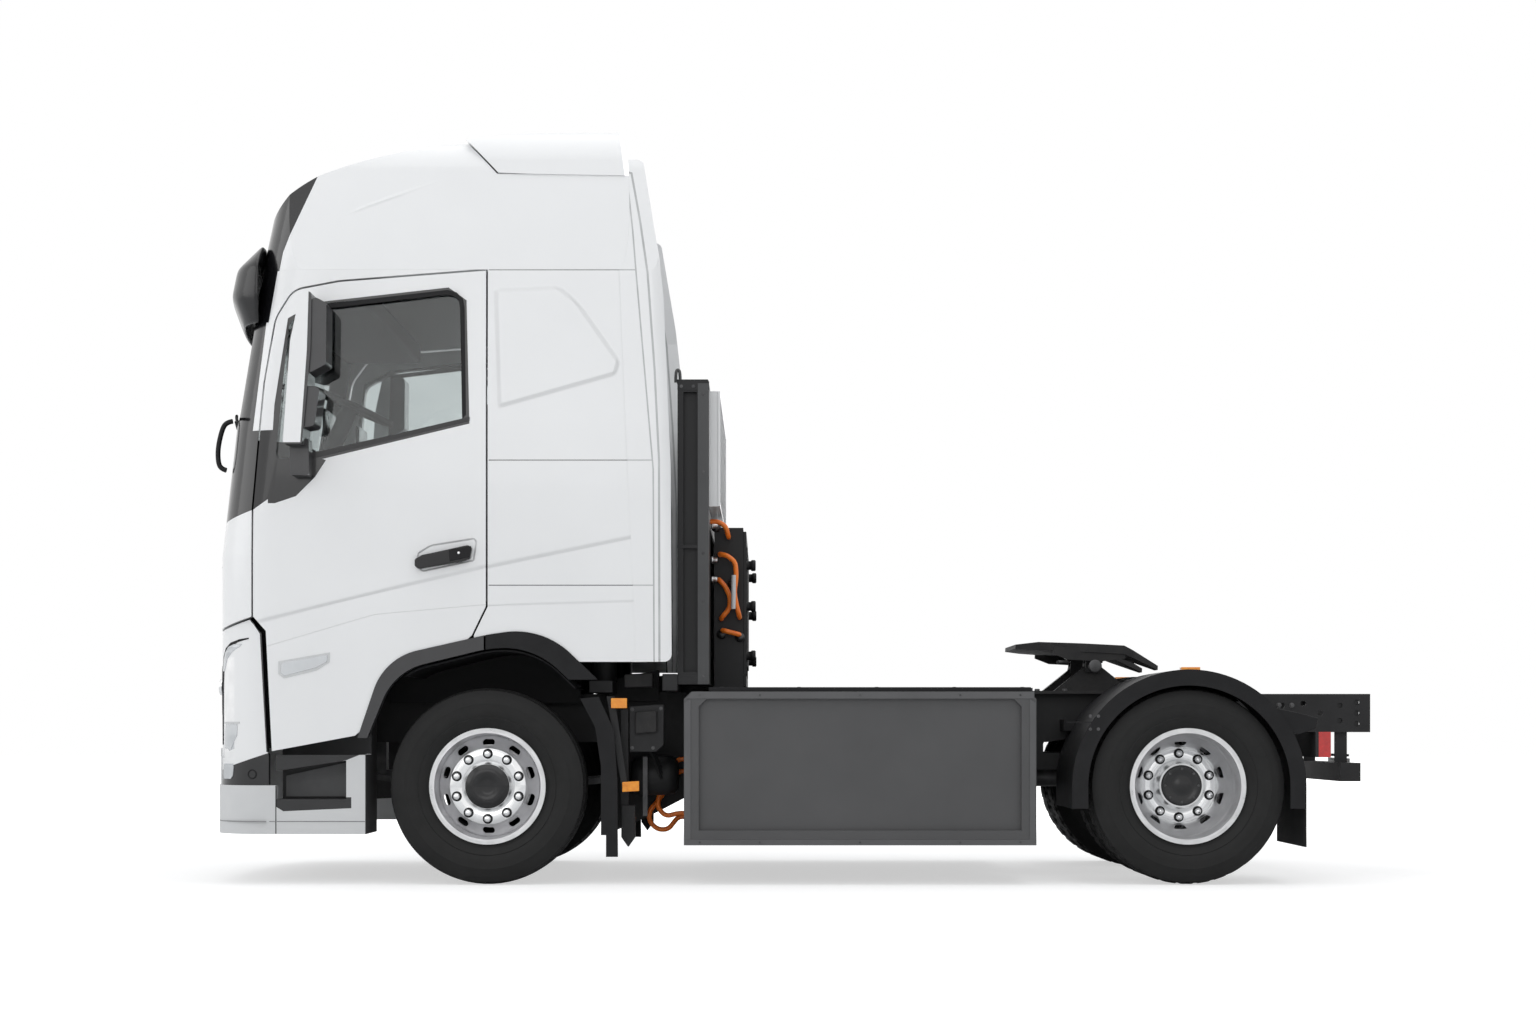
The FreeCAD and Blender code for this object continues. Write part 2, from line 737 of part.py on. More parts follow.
def add_rear_axle():
    z = D.tyre_radius
    reach = D.rear_outer_half - D.rim_offset + D.rim_offset * 0.5
    inner = D.rear_outer_half - 2 * D.rim_offset - D.seat_gap
    housing_half = D.axle_housing_width / 2
    body = new_body("axle_case")
    tube = D.axle_tube_radius
    spindle = D.axle_spindle_radius
    ball = D.axle_housing_radius
    revolve(body, [(-reach, 0), (-reach, spindle), (-inner, spindle), (-inner, tube),
                   (-housing_half, tube), (-housing_half / 2, ball, housing_half / 3),
                   (housing_half / 2, ball, housing_half / 3), (housing_half, tube),
                   (inner, tube), (inner, spindle), (reach, spindle), (reach, 0)])
    body.Placement = Placement(Vector(REAR_AXLE, 0, z), Rotation())
    nose = rod("axle_nose", "axle_tube_radius * 1.3", (REAR_AXLE, 0, z),
               (REAR_AXLE - D.axle_housing_radius * 1.7, 0, z))
    node("rear_axle", joined("rear_axle", [body, nose]))

    arm_bottom = z + tube
    arm_top = arm_bottom + D.trailing_arm_height
    centre_y = D.frame_half_width - D.rail_flange / 2
    bag_x = REAR_AXLE + D.air_spring_offset
    arm = block("trailing_arm", ("trailing_arm_length", "trailing_arm_width",
                                 "trailing_arm_height"),
                (REAR_AXLE + D.air_spring_offset - D.trailing_arm_length
                 + D.air_spring_radius, -centre_y - D.trailing_arm_width / 2, arm_bottom))
    front_x = REAR_AXLE + D.air_spring_offset - D.trailing_arm_length + D.air_spring_radius
    hanger = DOCUMENT.addObject("Part::Box", "arm_hanger")
    bind(hanger, {"Length": "trailing_arm_width * 1.5", "Width": "trailing_arm_width"})
    hanger.Height = RAIL_BOTTOM - arm_bottom
    hanger.Placement = Placement(Vector(front_x, -centre_y - D.trailing_arm_width / 2,
                                        arm_bottom), Rotation())
    arm_solid = joined("arm_solid", [arm, hanger])
    group("rear_arms", [arm_solid, mirrored(arm_solid)])

    bag = rod("air_bag", "air_spring_radius", (bag_x, -centre_y, arm_top),
              (bag_x, -centre_y, TAIL_BOTTOM))
    group("air_springs", [bag, mirrored(bag)])


def add_drive():
    motor_x = behind(D.motor_reach)
    node("drive_motor", block("drive_motor", ("motor_length", "motor_width", "motor_height"),
                              (motor_x, -D.motor_width / 2, D.motor_bottom)))
    shaft_z = D.motor_bottom + D.shaft_radius + D.panel_gap
    start = (motor_x + D.motor_length + D.seat_gap, 0, shaft_z)
    end = (REAR_AXLE - D.axle_housing_radius * 1.7 - D.seat_gap, 0, shaft_z)
    node("propeller_shaft", rod("propeller_shaft", "shaft_radius", start, end))


# Frame

RAIL_HOLE_SHARES = (
    (-0.35, -0.22), (-0.35, -0.5), (-0.35, -0.78), (-0.8, -0.3), (-0.8, -0.7), (-1.3, -0.5),
    (-1.75, -0.25), (-1.75, -0.75), (-2.3, -0.3), (-2.3, -0.7), (-6.2, -0.35), (-6.2, -0.7),
    (-6.9, -0.35), (-6.9, -0.7))


def add_frame():
    front = ahead(D.rail_front_reach)
    top = D.frame_top
    taper_start = behind(D.rail_taper_start)
    taper_end = behind(D.rail_taper_end)
    tail_bottom = TAIL_BOTTOM
    outline = [(front, RAIL_BOTTOM), (taper_start, RAIL_BOTTOM), (taper_end, tail_bottom),
               (REAR_END, tail_bottom), (REAR_END, top), (front, top)]
    wall = D.rail_wall
    inside = [(front - D.overrun, RAIL_BOTTOM + wall), (taper_start, RAIL_BOTTOM + wall),
              (taper_end, tail_bottom + wall), (REAR_END + D.overrun, tail_bottom + wall),
              (REAR_END + D.overrun, top - wall), (front - D.overrun, top - wall)]
    body = new_body("rail")
    centre = D.frame_half_width - D.rail_flange / 2
    pad(body, "XZ_Plane", [rounded_curves(outline)], "rail_flange", centre)
    pocket(body, "XZ_Plane", [rounded_curves(inside)], "rail_flange", centre - wall)
    holes = []
    for share_x, share_z in RAIL_HOLE_SHARES:
        holes.append(circle(REAR_END + share_x * D.rail_tail_height,
                            D.frame_top + share_z * D.rail_tail_height, D.rail_hole_radius))
    pocket(body, "XZ_Plane", holes, "rail_flange * 3", centre)
    group("frame_rails", [body, mirrored(body)])

    members = []
    width = D.crossmember_width
    places = (ahead(D.rail_front_reach) + width, behind(D.deck_front_reach / 2),
              behind(D.battery_rear_reach) - width, REAR_AXLE - D.fender_radius,
              REAR_END - width)
    inner = D.frame_half_width - D.rail_wall
    for place in places:
        member = DOCUMENT.addObject("Part::Box", "crossmember")
        bind(member, {"Length": "crossmember_width", "Width": "(frame_half_width - rail_wall) * 2",
                      "Height": "rail_tail_height - rail_wall * 2"})
        member.Placement = Placement(
            Vector(place - width / 2, -inner, top - D.rail_tail_height + D.rail_wall), Rotation())
        members.append(member)
    group("crossmembers", members)


def add_cab_mounts():
    """Front pivot brackets with their pins, and the rear cab mount."""
    pivot_x = ahead(D.tilt_reach)
    pin_out = D.tilt_arm_half + D.tilt_arm_wall
    bracket = DOCUMENT.addObject("Part::Box", "pivot_bracket")
    bind(bracket, {"Width": "rail_wall * 2", "Height": "tilt_arm_width"})
    bracket.Length = D.tilt_reach - D.rail_front_reach + 2 * D.tilt_arm_width
    bracket.Placement = Placement(
        Vector(pivot_x - D.tilt_arm_width / 2, -D.frame_half_width - 2 * D.rail_wall,
               RAIL_BOTTOM), Rotation())
    pin = rod("pivot_pin", "tilt_pin_radius", (pivot_x, -D.frame_half_width, D.tilt_height),
              (pivot_x, -pin_out, D.tilt_height))
    front = joined("pivot_mount", [bracket, pin])
    mount_x = behind(D.cab_rear_reach) - D.cab_rear_reach / 3
    beam = DOCUMENT.addObject("Part::Box", "rear_mount_beam")
    bind(beam, {"Length": "crossmember_width", "Width": "cab_half_width * 1.6",
                "Height": "crossmember_width / 2"})
    beam.Placement = Placement(Vector(mount_x - D.crossmember_width / 2,
                                      -D.cab_half_width * 0.8, D.frame_top), Rotation())
    pads = []
    for side in (-1, 1):
        y = side * D.cab_half_width * 0.6
        low = D.frame_top + D.crossmember_width / 2
        pads.append(rod("cab_spring", "air_spring_radius / 2", (mount_x, y, low),
                        (mount_x, y, D.floor_bottom - D.seat_gap)))
    rear = joined("rear_cab_mount", [beam] + pads)
    group("cab_mounts", [front, mirrored(front), rear])


# Cab

SECTION_SHARES = (
    (0.155, 1.0, 1.0, 1.0), (0.438, 1.0, 0.943, 1.0), (0.6075, 0.95, 0.909, 1.0),
    (0.816, 0.863, 0.869, 0.988), (1.03, 0.745, 0.828, 0.968))
ROOF_SHARES = ((-1.3, 0.10), (0.75, 0.10), (0.75, 0.943), (0.03, 0.948), (-0.085, 0.9975))
DOOR_SHARES = (
    (-0.4455, 0.1984), (-0.728, 0.178), (-0.7487, 0.3368), (-0.7933, 0.356), (-0.7933, 0.4982),
    (-0.7553, 0.6668), (-0.7173, 0.751, 0.045), (-0.655, 0.787, 0.03), (-0.50, 0.7985, 0.09),
    (0.0, 0.8135), (0.0, 0.3694), (-0.048, 0.3308))
WINDOW_SHARES = (
    (-0.7167, 0.5622, 0.008), (-0.671, 0.746, 0.02), (-0.545, 0.7705, 0.03),
    (-0.075, 0.788, 0.02), (-0.0693, 0.6166, 0.01))
ARCH_OUTER_SHARES = ((-1.32, 0.0), (-1.29, 0.50), (-1.02, 1.30, 0.6), (0.02, 1.535, 1.2),
                     (0.58, 1.615, 0.8), (1.12, 1.09), (1.12, 0.0))
ARCH_INNER_SHARES = ((-1.24, 0.0), (-1.20, 0.48), (-0.92, 1.165, 0.6), (-0.02, 1.385, 1.2),
                     (0.47, 1.435, 0.8), (0.90, 1.02), (0.90, 0.0))
LINER_SHARES = ((-1.23, 0.0), (-1.19, 0.48), (-0.91, 1.15, 0.6), (-0.02, 1.37, 1.2),
                (0.46, 1.42, 0.8), (0.885, 1.01), (0.885, 0.0))
DEFLECTOR_SHARES = ((-0.083, 0.983), (0.126, 0.9945), (0.445, 1.0), (0.47, 0.928),
                    (0.035, 0.9345))
FAIRING_SHARES = ((0.78, 0.296), (1.108, 0.296, 0.01), (1.098, 0.66), (1.075, 0.745),
                  (1.03, 0.835), (0.93, 0.968, 0.01), (0.70, 0.968))
VISOR_SHARES = ((0.744, 0.925), (0.787, 0.967), (0.823, 0.948), (0.855, 0.862))
VISOR_HOLLOW_SHARES = ((0.72, 0.902), (0.744, 0.925), (0.787, 0.967), (0.823, 0.948))
STEP_NOTCH_SHARES = ((-0.1, 0.44), (-0.1, 0.79), (0.02, 0.80), (0.78, 0.93), (0.78, 0.44))


def plan_section(height, front, rear, half, inset):
    """Level outline of the cab: bowed front, tangent corner arcs, straight sides, round rear."""
    bow = D.cab_front_radius
    corner = D.cab_corner_radius
    reach = (half - corner) / (1 - corner / bow)
    sine = reach / bow
    cosine = math.sqrt(1 - sine * sine)
    bow_centre = front + bow
    corner_x = front + bow - (bow - corner) * cosine
    corner_y = reach * (1 - corner / bow)
    inner_bow = bow - inset
    inner_corner = corner - inset
    rear_radius = max(D.cab_rear_radius - inset, D.cab_rear_radius / 4)
    back = rear - inset
    side = half - inset

    def at(x, y):
        return Vector(x, y, height)

    def corner_point(turn, sign):
        """turn is 0 where the arc leaves the bow and 1 where it meets the side."""
        start = math.asin(sine)
        angle = start + (math.pi / 2 - start) * turn
        return at(corner_x - inner_corner * math.cos(angle),
                  sign * (corner_y + inner_corner * math.sin(angle)))

    turn = math.sqrt(0.5) * rear_radius
    edges = [
        Part.Arc(corner_point(0, -1), at(bow_centre - inner_bow, 0), corner_point(0, 1)),
        Part.Arc(corner_point(0, 1), corner_point(0.5, 1), corner_point(1, 1)),
        Part.LineSegment(corner_point(1, 1), at(back - rear_radius, side)),
        Part.Arc(at(back - rear_radius, side),
                 at(back - rear_radius + turn, side - rear_radius + turn),
                 at(back, side - rear_radius)),
        Part.LineSegment(at(back, side - rear_radius), at(back, rear_radius - side)),
        Part.Arc(at(back, rear_radius - side),
                 at(back - rear_radius + turn, rear_radius - side - turn),
                 at(back - rear_radius, -side)),
        Part.LineSegment(at(back - rear_radius, -side), corner_point(1, -1)),
        Part.Arc(corner_point(1, -1), corner_point(0.5, -1), corner_point(0, -1)),
    ]
    return Part.Wire([edge.toShape() for edge in edges])


def cab_stack(inset, behind_extra=0.0):
    """The cab's volume below its roof curve, from level outlines joined by ruled faces."""
    wires = []
    for height, front, rear, half in SECTION_SHARES:
        wires.append(plan_section(
            height * D.cab_top, ahead(front * D.cab_front_reach),
            behind(rear * D.cab_rear_reach) + behind_extra, half * D.cab_half_width, inset))
    return Part.makeLoft(wires, True, True)


def visor_stack(shares, inset):
    """The sun visor's volume from level outlines, each a share of height and of front reach."""
    wires = [plan_section(height * D.cab_top, ahead(front * D.cab_front_reach),
                          behind(D.cab_rear_reach), D.cab_half_width, inset)
             for height, front in shares]
    return Part.makeLoft(wires, True, True)


def roof_section(inset, top):
    """Volume inside the roof's cross-section, with leaning sides and round shoulders."""
    wide = D.cab_half_width * 1.04 - inset
    seam = D.cab_half_width * 0.988 - inset
    shoulder = D.cab_half_width * 0.872 - inset
    radius = D.roof_corner_radius - inset
    half = [(wide, 0), (wide, D.roof_seam * 0.92), (seam, D.roof_seam),
            (shoulder, top - inset, radius)]
    points = half + [(-point[0],) + point[1:] for point in reversed(half)]
    return prism(points, "x", ahead(D.front_overhang * 1.3), behind(D.cab_rear_reach * 1.5))


def roof_profile(inset):
    """Volume under the roof's side profile: round brow, long crown and step for the deflector."""
    points = spread(ROOF_SHARES, FRONT_AXLE, D.cab_front_reach, 0, D.cab_top - inset)
    low_front = Vector(points[0][0], points[0][1], 0)
    brow_start = Vector(ahead(D.cab_front_reach * 0.832) + inset, D.cab_top * 0.837, 0)
    brow_middle = Vector(ahead(D.cab_front_reach * 0.731) + inset, D.cab_top * 0.899 - inset, 0)
    brow_end = Vector(ahead(D.cab_front_reach * 0.577), D.cab_top * 0.9457 - inset, 0)
    crown_middle = Vector(ahead(D.cab_front_reach * 0.33), D.cab_top * 0.9775 - inset, 0)
    corners = [Vector(a, b, 0) for a, b in points]
    crown_end = corners[4]
    front = Vector(low_front.x, brow_start.y, 0)
    curves = [Part.LineSegment(corners[0], corners[1]), Part.LineSegment(corners[1], corners[2]),
              Part.LineSegment(corners[2], corners[3]), Part.LineSegment(corners[3], crown_end),
              Part.Arc(crown_end, crown_middle, brow_end),
              Part.Arc(brow_end, brow_middle, brow_start),
              Part.LineSegment(brow_start, front), Part.LineSegment(front, corners[0])]
    face = Part.Face(Part.Wire([curve.toShape() for curve in curves]))
    face.Placement = Placement(Vector(0, -D.cab_half_width * 1.2, 0),
                               Rotation(Vector(1, 0, 0), Vector(0, 0, 1), Vector(0, -1, 0),
                                        "XYZ"))
    return face.extrude(Vector(0, D.cab_half_width * 2.4, 0))


def cab_volume(inset):
    return cab_stack(inset).common(roof_section(inset, D.cab_top)).common(roof_profile(inset))


def across(shares, reach, height, gap=0.0):
    """Prism through the whole cab of an outline in shares; gap grows it evenly."""
    points = spread(shares, FRONT_AXLE, reach, 0, height)
    wide = D.cab_half_width * 1.4
    solid = prism(points, "y", -wide, wide)
    if gap:
        face = prism_face(points)
        grown = face.makeOffset2D(gap)
        if grown.ShapeType != "Face":
            grown = Part.Face(grown)
        grown.Placement = Placement(Vector(0, -wide, 0), Rotation(
            Vector(1, 0, 0), Vector(0, 0, 1), Vector(0, -1, 0), "XYZ"))
        solid = grown.extrude(Vector(0, 2 * wide, 0))
    return solid


def prism_face(points):
    return Part.Face(Part.Wire([curve.toShape() for curve in rounded_curves(points)]))


def arch(shares):
    points = spread(shares, FRONT_AXLE, D.tyre_radius, D.tyre_radius, D.tyre_radius)
    wide = D.cab_half_width * 1.4
    return prism(points, "y", -wide, wide)


def seam_cut(lift):
    """Everything under the sloping seam between the tilting cab and the fixed front end."""
    front = ahead(D.front_overhang * 1.3)
    slope = (D.seam_door_height - D.seam_front_height) / (D.cab_front_reach - D.seam_door_reach)
    low = D.seam_front_height + lift - slope * (D.front_overhang * 1.3 - D.cab_front_reach)
    high = D.seam_door_height + lift
    far = behind(D.cab_rear_reach * 1.5)
    wide = D.cab_half_width * 1.4
    return prism([(front, 0), (far, 0), (far, high), (ahead(D.seam_door_reach), high),
                  (front, low)], "y", -wide, wide)


def add_cab():
    gap = D.panel_gap
    wall = D.cab_wall
    wide = D.cab_half_width * 1.4
    front_x = ahead(D.front_overhang * 1.3)
    rear_x = behind(D.cab_rear_reach * 1.5)
    outer = cab_volume(0)
    inner = cab_volume(wall)
    shell = outer.cut(inner)
    door_hole = across(DOOR_SHARES, D.cab_front_reach, D.cab_top, gap)
    door_leaf = across(DOOR_SHARES, D.cab_front_reach, D.cab_top)
    arch_outer = arch(ARCH_OUTER_SHARES)
    arch_inner = arch(ARCH_INNER_SHARES)
    top = D.cab_top * 1.1
    seat = D.seat_gap

    roof = shell.common(box(front_x, rear_x, -wide, wide, D.roof_seam, top))
    node("cab_roof", shaped("cab_roof", roof))

    side_low = D.cab_side_bottom
    band = box(behind(0) - D.cab_wall, rear_x, -wide, wide, side_low, D.roof_seam - seat)
    core = box(front_x, rear_x, -(D.cab_half_width - wall * 1.05), D.cab_half_width - wall * 1.05,
               0, D.roof_seam + top)
    sides = shell.common(band).cut(core).cut(door_hole).cut(arch_outer)
    node("cab_sides", shaped("cab_sides", sides))

    back_half = D.cab_half_width - wall * 1.05 - seat
    back = shell.common(box(behind(D.cab_rear_reach / 2), rear_x, -back_half, back_half,
                            D.floor_bottom, D.roof_seam - seat))
    node("cab_back_wall", shaped("cab_back_wall", back))

    seam_solid = seam_cut(gap / 2)
    face = shell.common(box(front_x, behind(0) - D.cab_wall, -wide, wide, 0,
                            D.roof_seam - seat)).cut(door_hole).cut(seam_solid)
    ahead_of_door = box(front_x, ahead(D.seam_door_reach * 0.86), -wide, wide, 0, top)
    door_header = box(front_x, rear_x, -wide, wide, D.roof_seam * 0.94, top)
    face = face.common(ahead_of_door.fuse(door_header))
    grille_zone = box(front_x, ahead(D.cab_front_reach * 0.9), -D.grille_half_width,
                      D.grille_half_width, D.grille_bottom, D.seam_door_height)
    grille = cab_stack(0).cut(cab_stack(D.grille_wall)).common(grille_zone)
    face = face.fuse(grille).removeSplitter()
    pane_points = rectangle(-D.windscreen_half_width, D.windscreen_half_width,
                            D.windscreen_bottom, D.windscreen_top, D.windscreen_corner_radius)
    hole = prism(pane_points, "x", front_x, ahead(D.cab_front_reach / 2))
    node("cab_front", shaped("cab_front", face.cut(hole)))
    pane_inner = [(a - math.copysign(seat, a), b + math.copysign(seat, D.roof_seam * 0.87 - b), r)
                  for a, b, r in pane_points]
    pane_zone = prism(pane_inner, "x", front_x, ahead(D.cab_front_reach / 2))
    pane = cab_stack(D.windscreen_inset).cut(
        cab_stack(D.windscreen_inset + D.windscreen_wall)).common(pane_zone)
    node("windscreen", shaped("windscreen", pane))

    floor_high = D.floor_bottom + D.floor_thickness
    level = box(front_x, rear_x, -wide, wide, D.floor_bottom, floor_high)
    door_clear = D.cab_half_width - wall - D.floor_door_room
    rear_part = cab_stack(wall + seat).common(level)
    trims = []
    for side in (-1, 1):
        low_y = min(side * door_clear, side * wide)
        high_y = max(side * door_clear, side * wide)
        trims.append(box(ahead(D.seam_door_reach + gap), behind(0) + gap, low_y, high_y, 0, top))
    floor = rear_part.cut(trims[0]).cut(trims[1])
    node("cab_floor", shaped("cab_floor", floor))

    deflector_zone = across(DEFLECTOR_SHARES, D.cab_front_reach, D.deflector_top)
    hull = cab_stack(0).common(roof_section(0, D.deflector_top)).common(deflector_zone)
    hull = hull.cut(roof_profile(-seat))
    node("roof_deflector", shaped("roof_deflector", hull))

    extra = D.cab_rear_reach * 0.2
    hollow = cab_stack(D.fairing_wall, extra * 2).common(
        roof_section(D.fairing_wall, D.cab_top))
    ring = cab_stack(0, extra).common(roof_section(0, D.cab_top)).cut(hollow)
    fairings = ring.common(across(FAIRING_SHARES, D.cab_rear_reach, D.cab_top))
    fairings = fairings.cut(cab_stack(-seat).common(roof_section(-seat, D.cab_top)))
    fairings = fairings.cut(box(front_x, rear_x * 2 + wide * 2, -D.cab_half_width * 0.82,
                                D.cab_half_width * 0.82, 0, top))
    node("side_fairings", shaped("side_fairings", fairings))

    visor = visor_stack(VISOR_SHARES, 0).cut(visor_stack(VISOR_HOLLOW_SHARES, D.visor_wall))
    visor = visor.cut(cab_stack(-seat)).cut(
        box(ahead(D.cab_front_reach * 0.775), rear_x, -wide, wide, 0, top))
    visor = visor.cut(across(DOOR_SHARES, D.cab_front_reach, D.cab_top, gap))
    node("sun_visor", shaped("sun_visor", visor))
    trim_zone = arch_outer.cut(arch_inner)
    ring_wall = cab_stack(-D.fairing_wall / 4).cut(cab_stack(wall))
    trim = ring_wall.common(trim_zone)
    trim_rear = trim.common(box(behind(0), rear_x, -wide, wide, D.trim_rear_bottom, top))
    node("arch_trims", shaped("arch_trims", trim_rear))

    tunnel = arch(LINER_SHARES)
    inner_tunnel = tunnel.copy()
    crown = D.liner_wall
    inner_tunnel.translate(Vector(0, 0, -crown))
    liners = []
    for side in (-1, 1):
        low_y = min(side * D.liner_inner_half, side * D.liner_outer_half)
        high_y = max(side * D.liner_inner_half, side * D.liner_outer_half)
        span = box(front_x, behind(0), low_y, high_y, D.liner_front_bottom, D.floor_bottom - seat)
        rest = box(behind(0), rear_x, low_y, high_y, D.liner_rear_bottom, D.floor_bottom - seat)
        vault = tunnel.cut(inner_tunnel).common(span.fuse(rest))
        near = side * D.liner_inner_half
        far = side * (D.liner_inner_half + crown)
        wall_box = box(ahead(D.tyre_radius * 1.19), behind(D.tyre_radius * 0.85), min(near, far),
                       max(near, far), D.liner_wall_bottom, D.floor_bottom - seat)
        liners.append(vault.fuse(wall_box).removeSplitter())
    node("wheel_liners", shaped("wheel_liners", Part.makeCompound(liners)))
    return shell, door_leaf, arch_outer, trim


def add_doors(shell, door_leaf, arch_outer, trim):
    gap = D.panel_gap
    wide = D.cab_half_width * 1.4
    top = D.cab_top * 1.1
    window = across(WINDOW_SHARES, D.cab_front_reach, D.cab_top)
    skirt_top = D.floor_bottom + D.floor_thickness + gap
    skirt_core = cab_stack(D.skirt_wall)
    lower = cab_stack(0).cut(skirt_core).common(
        box(ahead(D.front_overhang), rear_limit(), -wide, wide, 0, skirt_top))
    upper = shell.cut(box(ahead(D.front_overhang), rear_limit(), -wide, wide, 0, skirt_top))
    leaves = upper.fuse(lower).common(door_leaf).cut(arch_outer)
    glass_zone = across(WINDOW_SHARES, D.cab_front_reach, D.cab_top, -D.seat_gap)
    glass = cab_stack(D.door_glass_inset).cut(
        cab_stack(D.door_glass_inset + D.door_glass_wall)).common(glass_zone)
    trim_front = trim.common(box(ahead(D.front_overhang), behind(0) - gap, -wide, wide,
                                 D.trim_bottom, top))
    for side, word in ((-1, "left"), (1, "right")):
        half = box(ahead(D.front_overhang * 1.3), rear_limit(), min(0, side * wide),
                   max(0, side * wide), 0, top)
        door = leaves.common(half).cut(window).removeSplitter()
        node("door_" + word, shaped("door_" + word, door))
        node("door_glass_" + word, shaped("door_glass_" + word, glass.common(half)))
        fittings = [trim_front.common(half)] + mirror(side)
        node("door_fittings_" + word, shaped("door_fittings_" + word,
                                             Part.makeCompound(fittings)))


def rear_limit():
    return behind(D.cab_rear_reach * 1.5)


MIRROR_SHELL_SHARES = ((-0.665, 0.578, 0.004), (-0.640, 0.712, 0.05), (-0.605, 0.776, 0.005),
                       (-0.568, 0.776, 0.004), (-0.572, 0.70, 0.05), (-0.600, 0.578, 0.004))
MIRROR_UPPER_SHARES = ((-0.592, 0.668, 0.004), (-0.570, 0.772, 0.006), (-0.520, 0.762, 0.006),
                       (-0.522, 0.682, 0.006))
MIRROR_LOWER_SHARES = ((-0.625, 0.598, 0.006), (-0.600, 0.655, 0.006), (-0.542, 0.652, 0.006),
                       (-0.560, 0.602, 0.006))
MIRROR_FOOT_SHARES = ((-0.655, 0.540, 0.003), (-0.655, 0.588, 0.003), (-0.590, 0.588, 0.003),
                      (-0.590, 0.540, 0.003))


def mirror(side):
    """Mirror shell, its two heads and the foot that holds them on the door below the window."""
    outer = D.mirror_half_width
    inner = outer - D.mirror_width
    skin = D.cab_half_width + D.seat_gap

    def slab(shares, near, far):
        points = spread(shares, FRONT_AXLE, D.cab_front_reach, 0, D.cab_top)
        return prism(points, "y", min(side * near, side * far), max(side * near, side * far))

    pieces = [
        slab(MIRROR_SHELL_SHARES, inner, outer),
        slab(MIRROR_UPPER_SHARES, inner + D.seat_gap, outer - D.mirror_edge),
        slab(MIRROR_LOWER_SHARES, inner + D.seat_gap, outer - D.mirror_edge),
        slab(MIRROR_FOOT_SHARES, skin, inner + D.mirror_depth),
    ]
    return [pieces[0].multiFuse(pieces[1:]).removeSplitter()]


def add_cab_inside():
    gap = D.panel_gap
    floor_top = D.floor_bottom + D.floor_thickness
    inner_half = D.cab_half_width - D.cab_wall - gap
    dash_half = D.cab_half_width - D.cab_wall - D.dash_door_room
    dash_rear = ahead(D.cab_front_reach * 0.62)
    dash_low = D.cab_top * 0.50
    dash_high = D.cab_top * 0.598
    points = [(ahead(D.cab_front_reach), dash_low), (dash_rear, dash_low),
              (dash_rear, dash_high - gap * 4, gap * 3), (ahead(D.cab_front_reach), dash_high)]
    shape = prism(points, "y", -dash_half, dash_half).common(cab_stack(D.cab_wall + D.seat_gap))
    column_y = -D.seat_half
    tilt = math.radians(D.steering_column_tilt)
    along = Vector(math.sin(tilt), 0, math.cos(tilt))
    base = Vector(dash_rear - D.steering_column_radius, column_y, (dash_low + dash_high) / 2)
    column = Part.makeCylinder(D.steering_column_radius, D.steering_column_length, base, along)
    node("dashboard", shaped("dashboard", shape.fuse(column)))
    hub = base + along * (D.steering_column_length + D.seat_gap)
    ring = Part.makeTorus(D.steering_wheel_radius, D.steering_rim_radius,
                          hub + along * D.steering_rim_radius, along)
    boss = Part.makeCylinder(D.steering_column_radius * 1.4, 2 * D.steering_rim_radius, hub, along)
    spokes = []
    for turn in (0, 120, 240):
        spoke = box(0, D.steering_wheel_radius, -D.steering_rim_radius, D.steering_rim_radius,
                    D.steering_rim_radius / 2, D.steering_rim_radius * 1.5)
        spoke.rotate(Vector(0, 0, 0), Vector(0, 0, 1), turn)
        spoke.Placement = Placement(hub, Rotation(Vector(0, 0, 1), along)).multiply(
            spoke.Placement)
        spokes.append(spoke)
    node("steering_wheel", shaped("steering_wheel", ring.multiFuse([boss] + spokes)))

    pieces = []
    for side in (-1, 1):
        low_y = side * D.seat_half - D.seat_width / 2
        seat_front = ahead(D.cab_front_reach * 0.30)
        seat_z = floor_top + D.seat_height
        base_block = box(seat_front + gap * 4, seat_front + D.seat_length - gap * 4,
                         low_y + gap * 4, low_y + D.seat_width - gap * 4, floor_top + D.seat_gap,
                         seat_z)
        cushion = box(seat_front, seat_front + D.seat_length, low_y, low_y + D.seat_width,
                      seat_z, seat_z + D.seat_pad)
        back = box(seat_front + D.seat_length - D.seat_pad, seat_front + D.seat_length, low_y,
                   low_y + D.seat_width, seat_z + D.seat_pad,
                   seat_z + D.seat_pad + D.seat_back_height)
        pieces.append(base_block.multiFuse([cushion, back]).removeSplitter())
    back_wall = behind(D.cab_rear_reach * 0.90) - D.cab_wall - gap
    bunk_low = floor_top + D.bunk_height
    bunk = box(back_wall - D.bunk_width, back_wall, -inner_half, inner_half, bunk_low,
               bunk_low + D.bunk_pad)
    locker = box(back_wall - D.bunk_width + gap * 3, back_wall, -inner_half + gap * 3,
                 inner_half - gap * 3, floor_top + D.seat_gap, bunk_low)
    pieces.append(bunk.fuse(locker))
    node("seats_and_bunk", shaped("seats_and_bunk", Part.makeCompound(pieces)))


def add_tilt_arms():
    """Arms from the cab floor down to the pivot pins."""
    pivot = (ahead(D.tilt_reach), D.tilt_height)
    width = D.tilt_arm_width
    body = new_body("tilt_arm")
    top = D.floor_bottom - D.seat_gap
    outline = [(pivot[0] - width / 2, pivot[1] - width / 2),
               (pivot[0] + width / 2, pivot[1] - width / 2),
               (pivot[0] + width / 2, pivot[1] + width), (pivot[0] + width * 2, top),
               (pivot[0] - width / 4, top)]
    hole = circle(pivot[0], pivot[1], D.tilt_pin_radius + D.running_gap)
    pad(body, "XZ_Plane", [rounded_curves(outline), hole], "tilt_arm_wall", D.tilt_arm_half)
    group("tilt_arms", [body, mirrored(body)])


# Front end fixed to the chassis

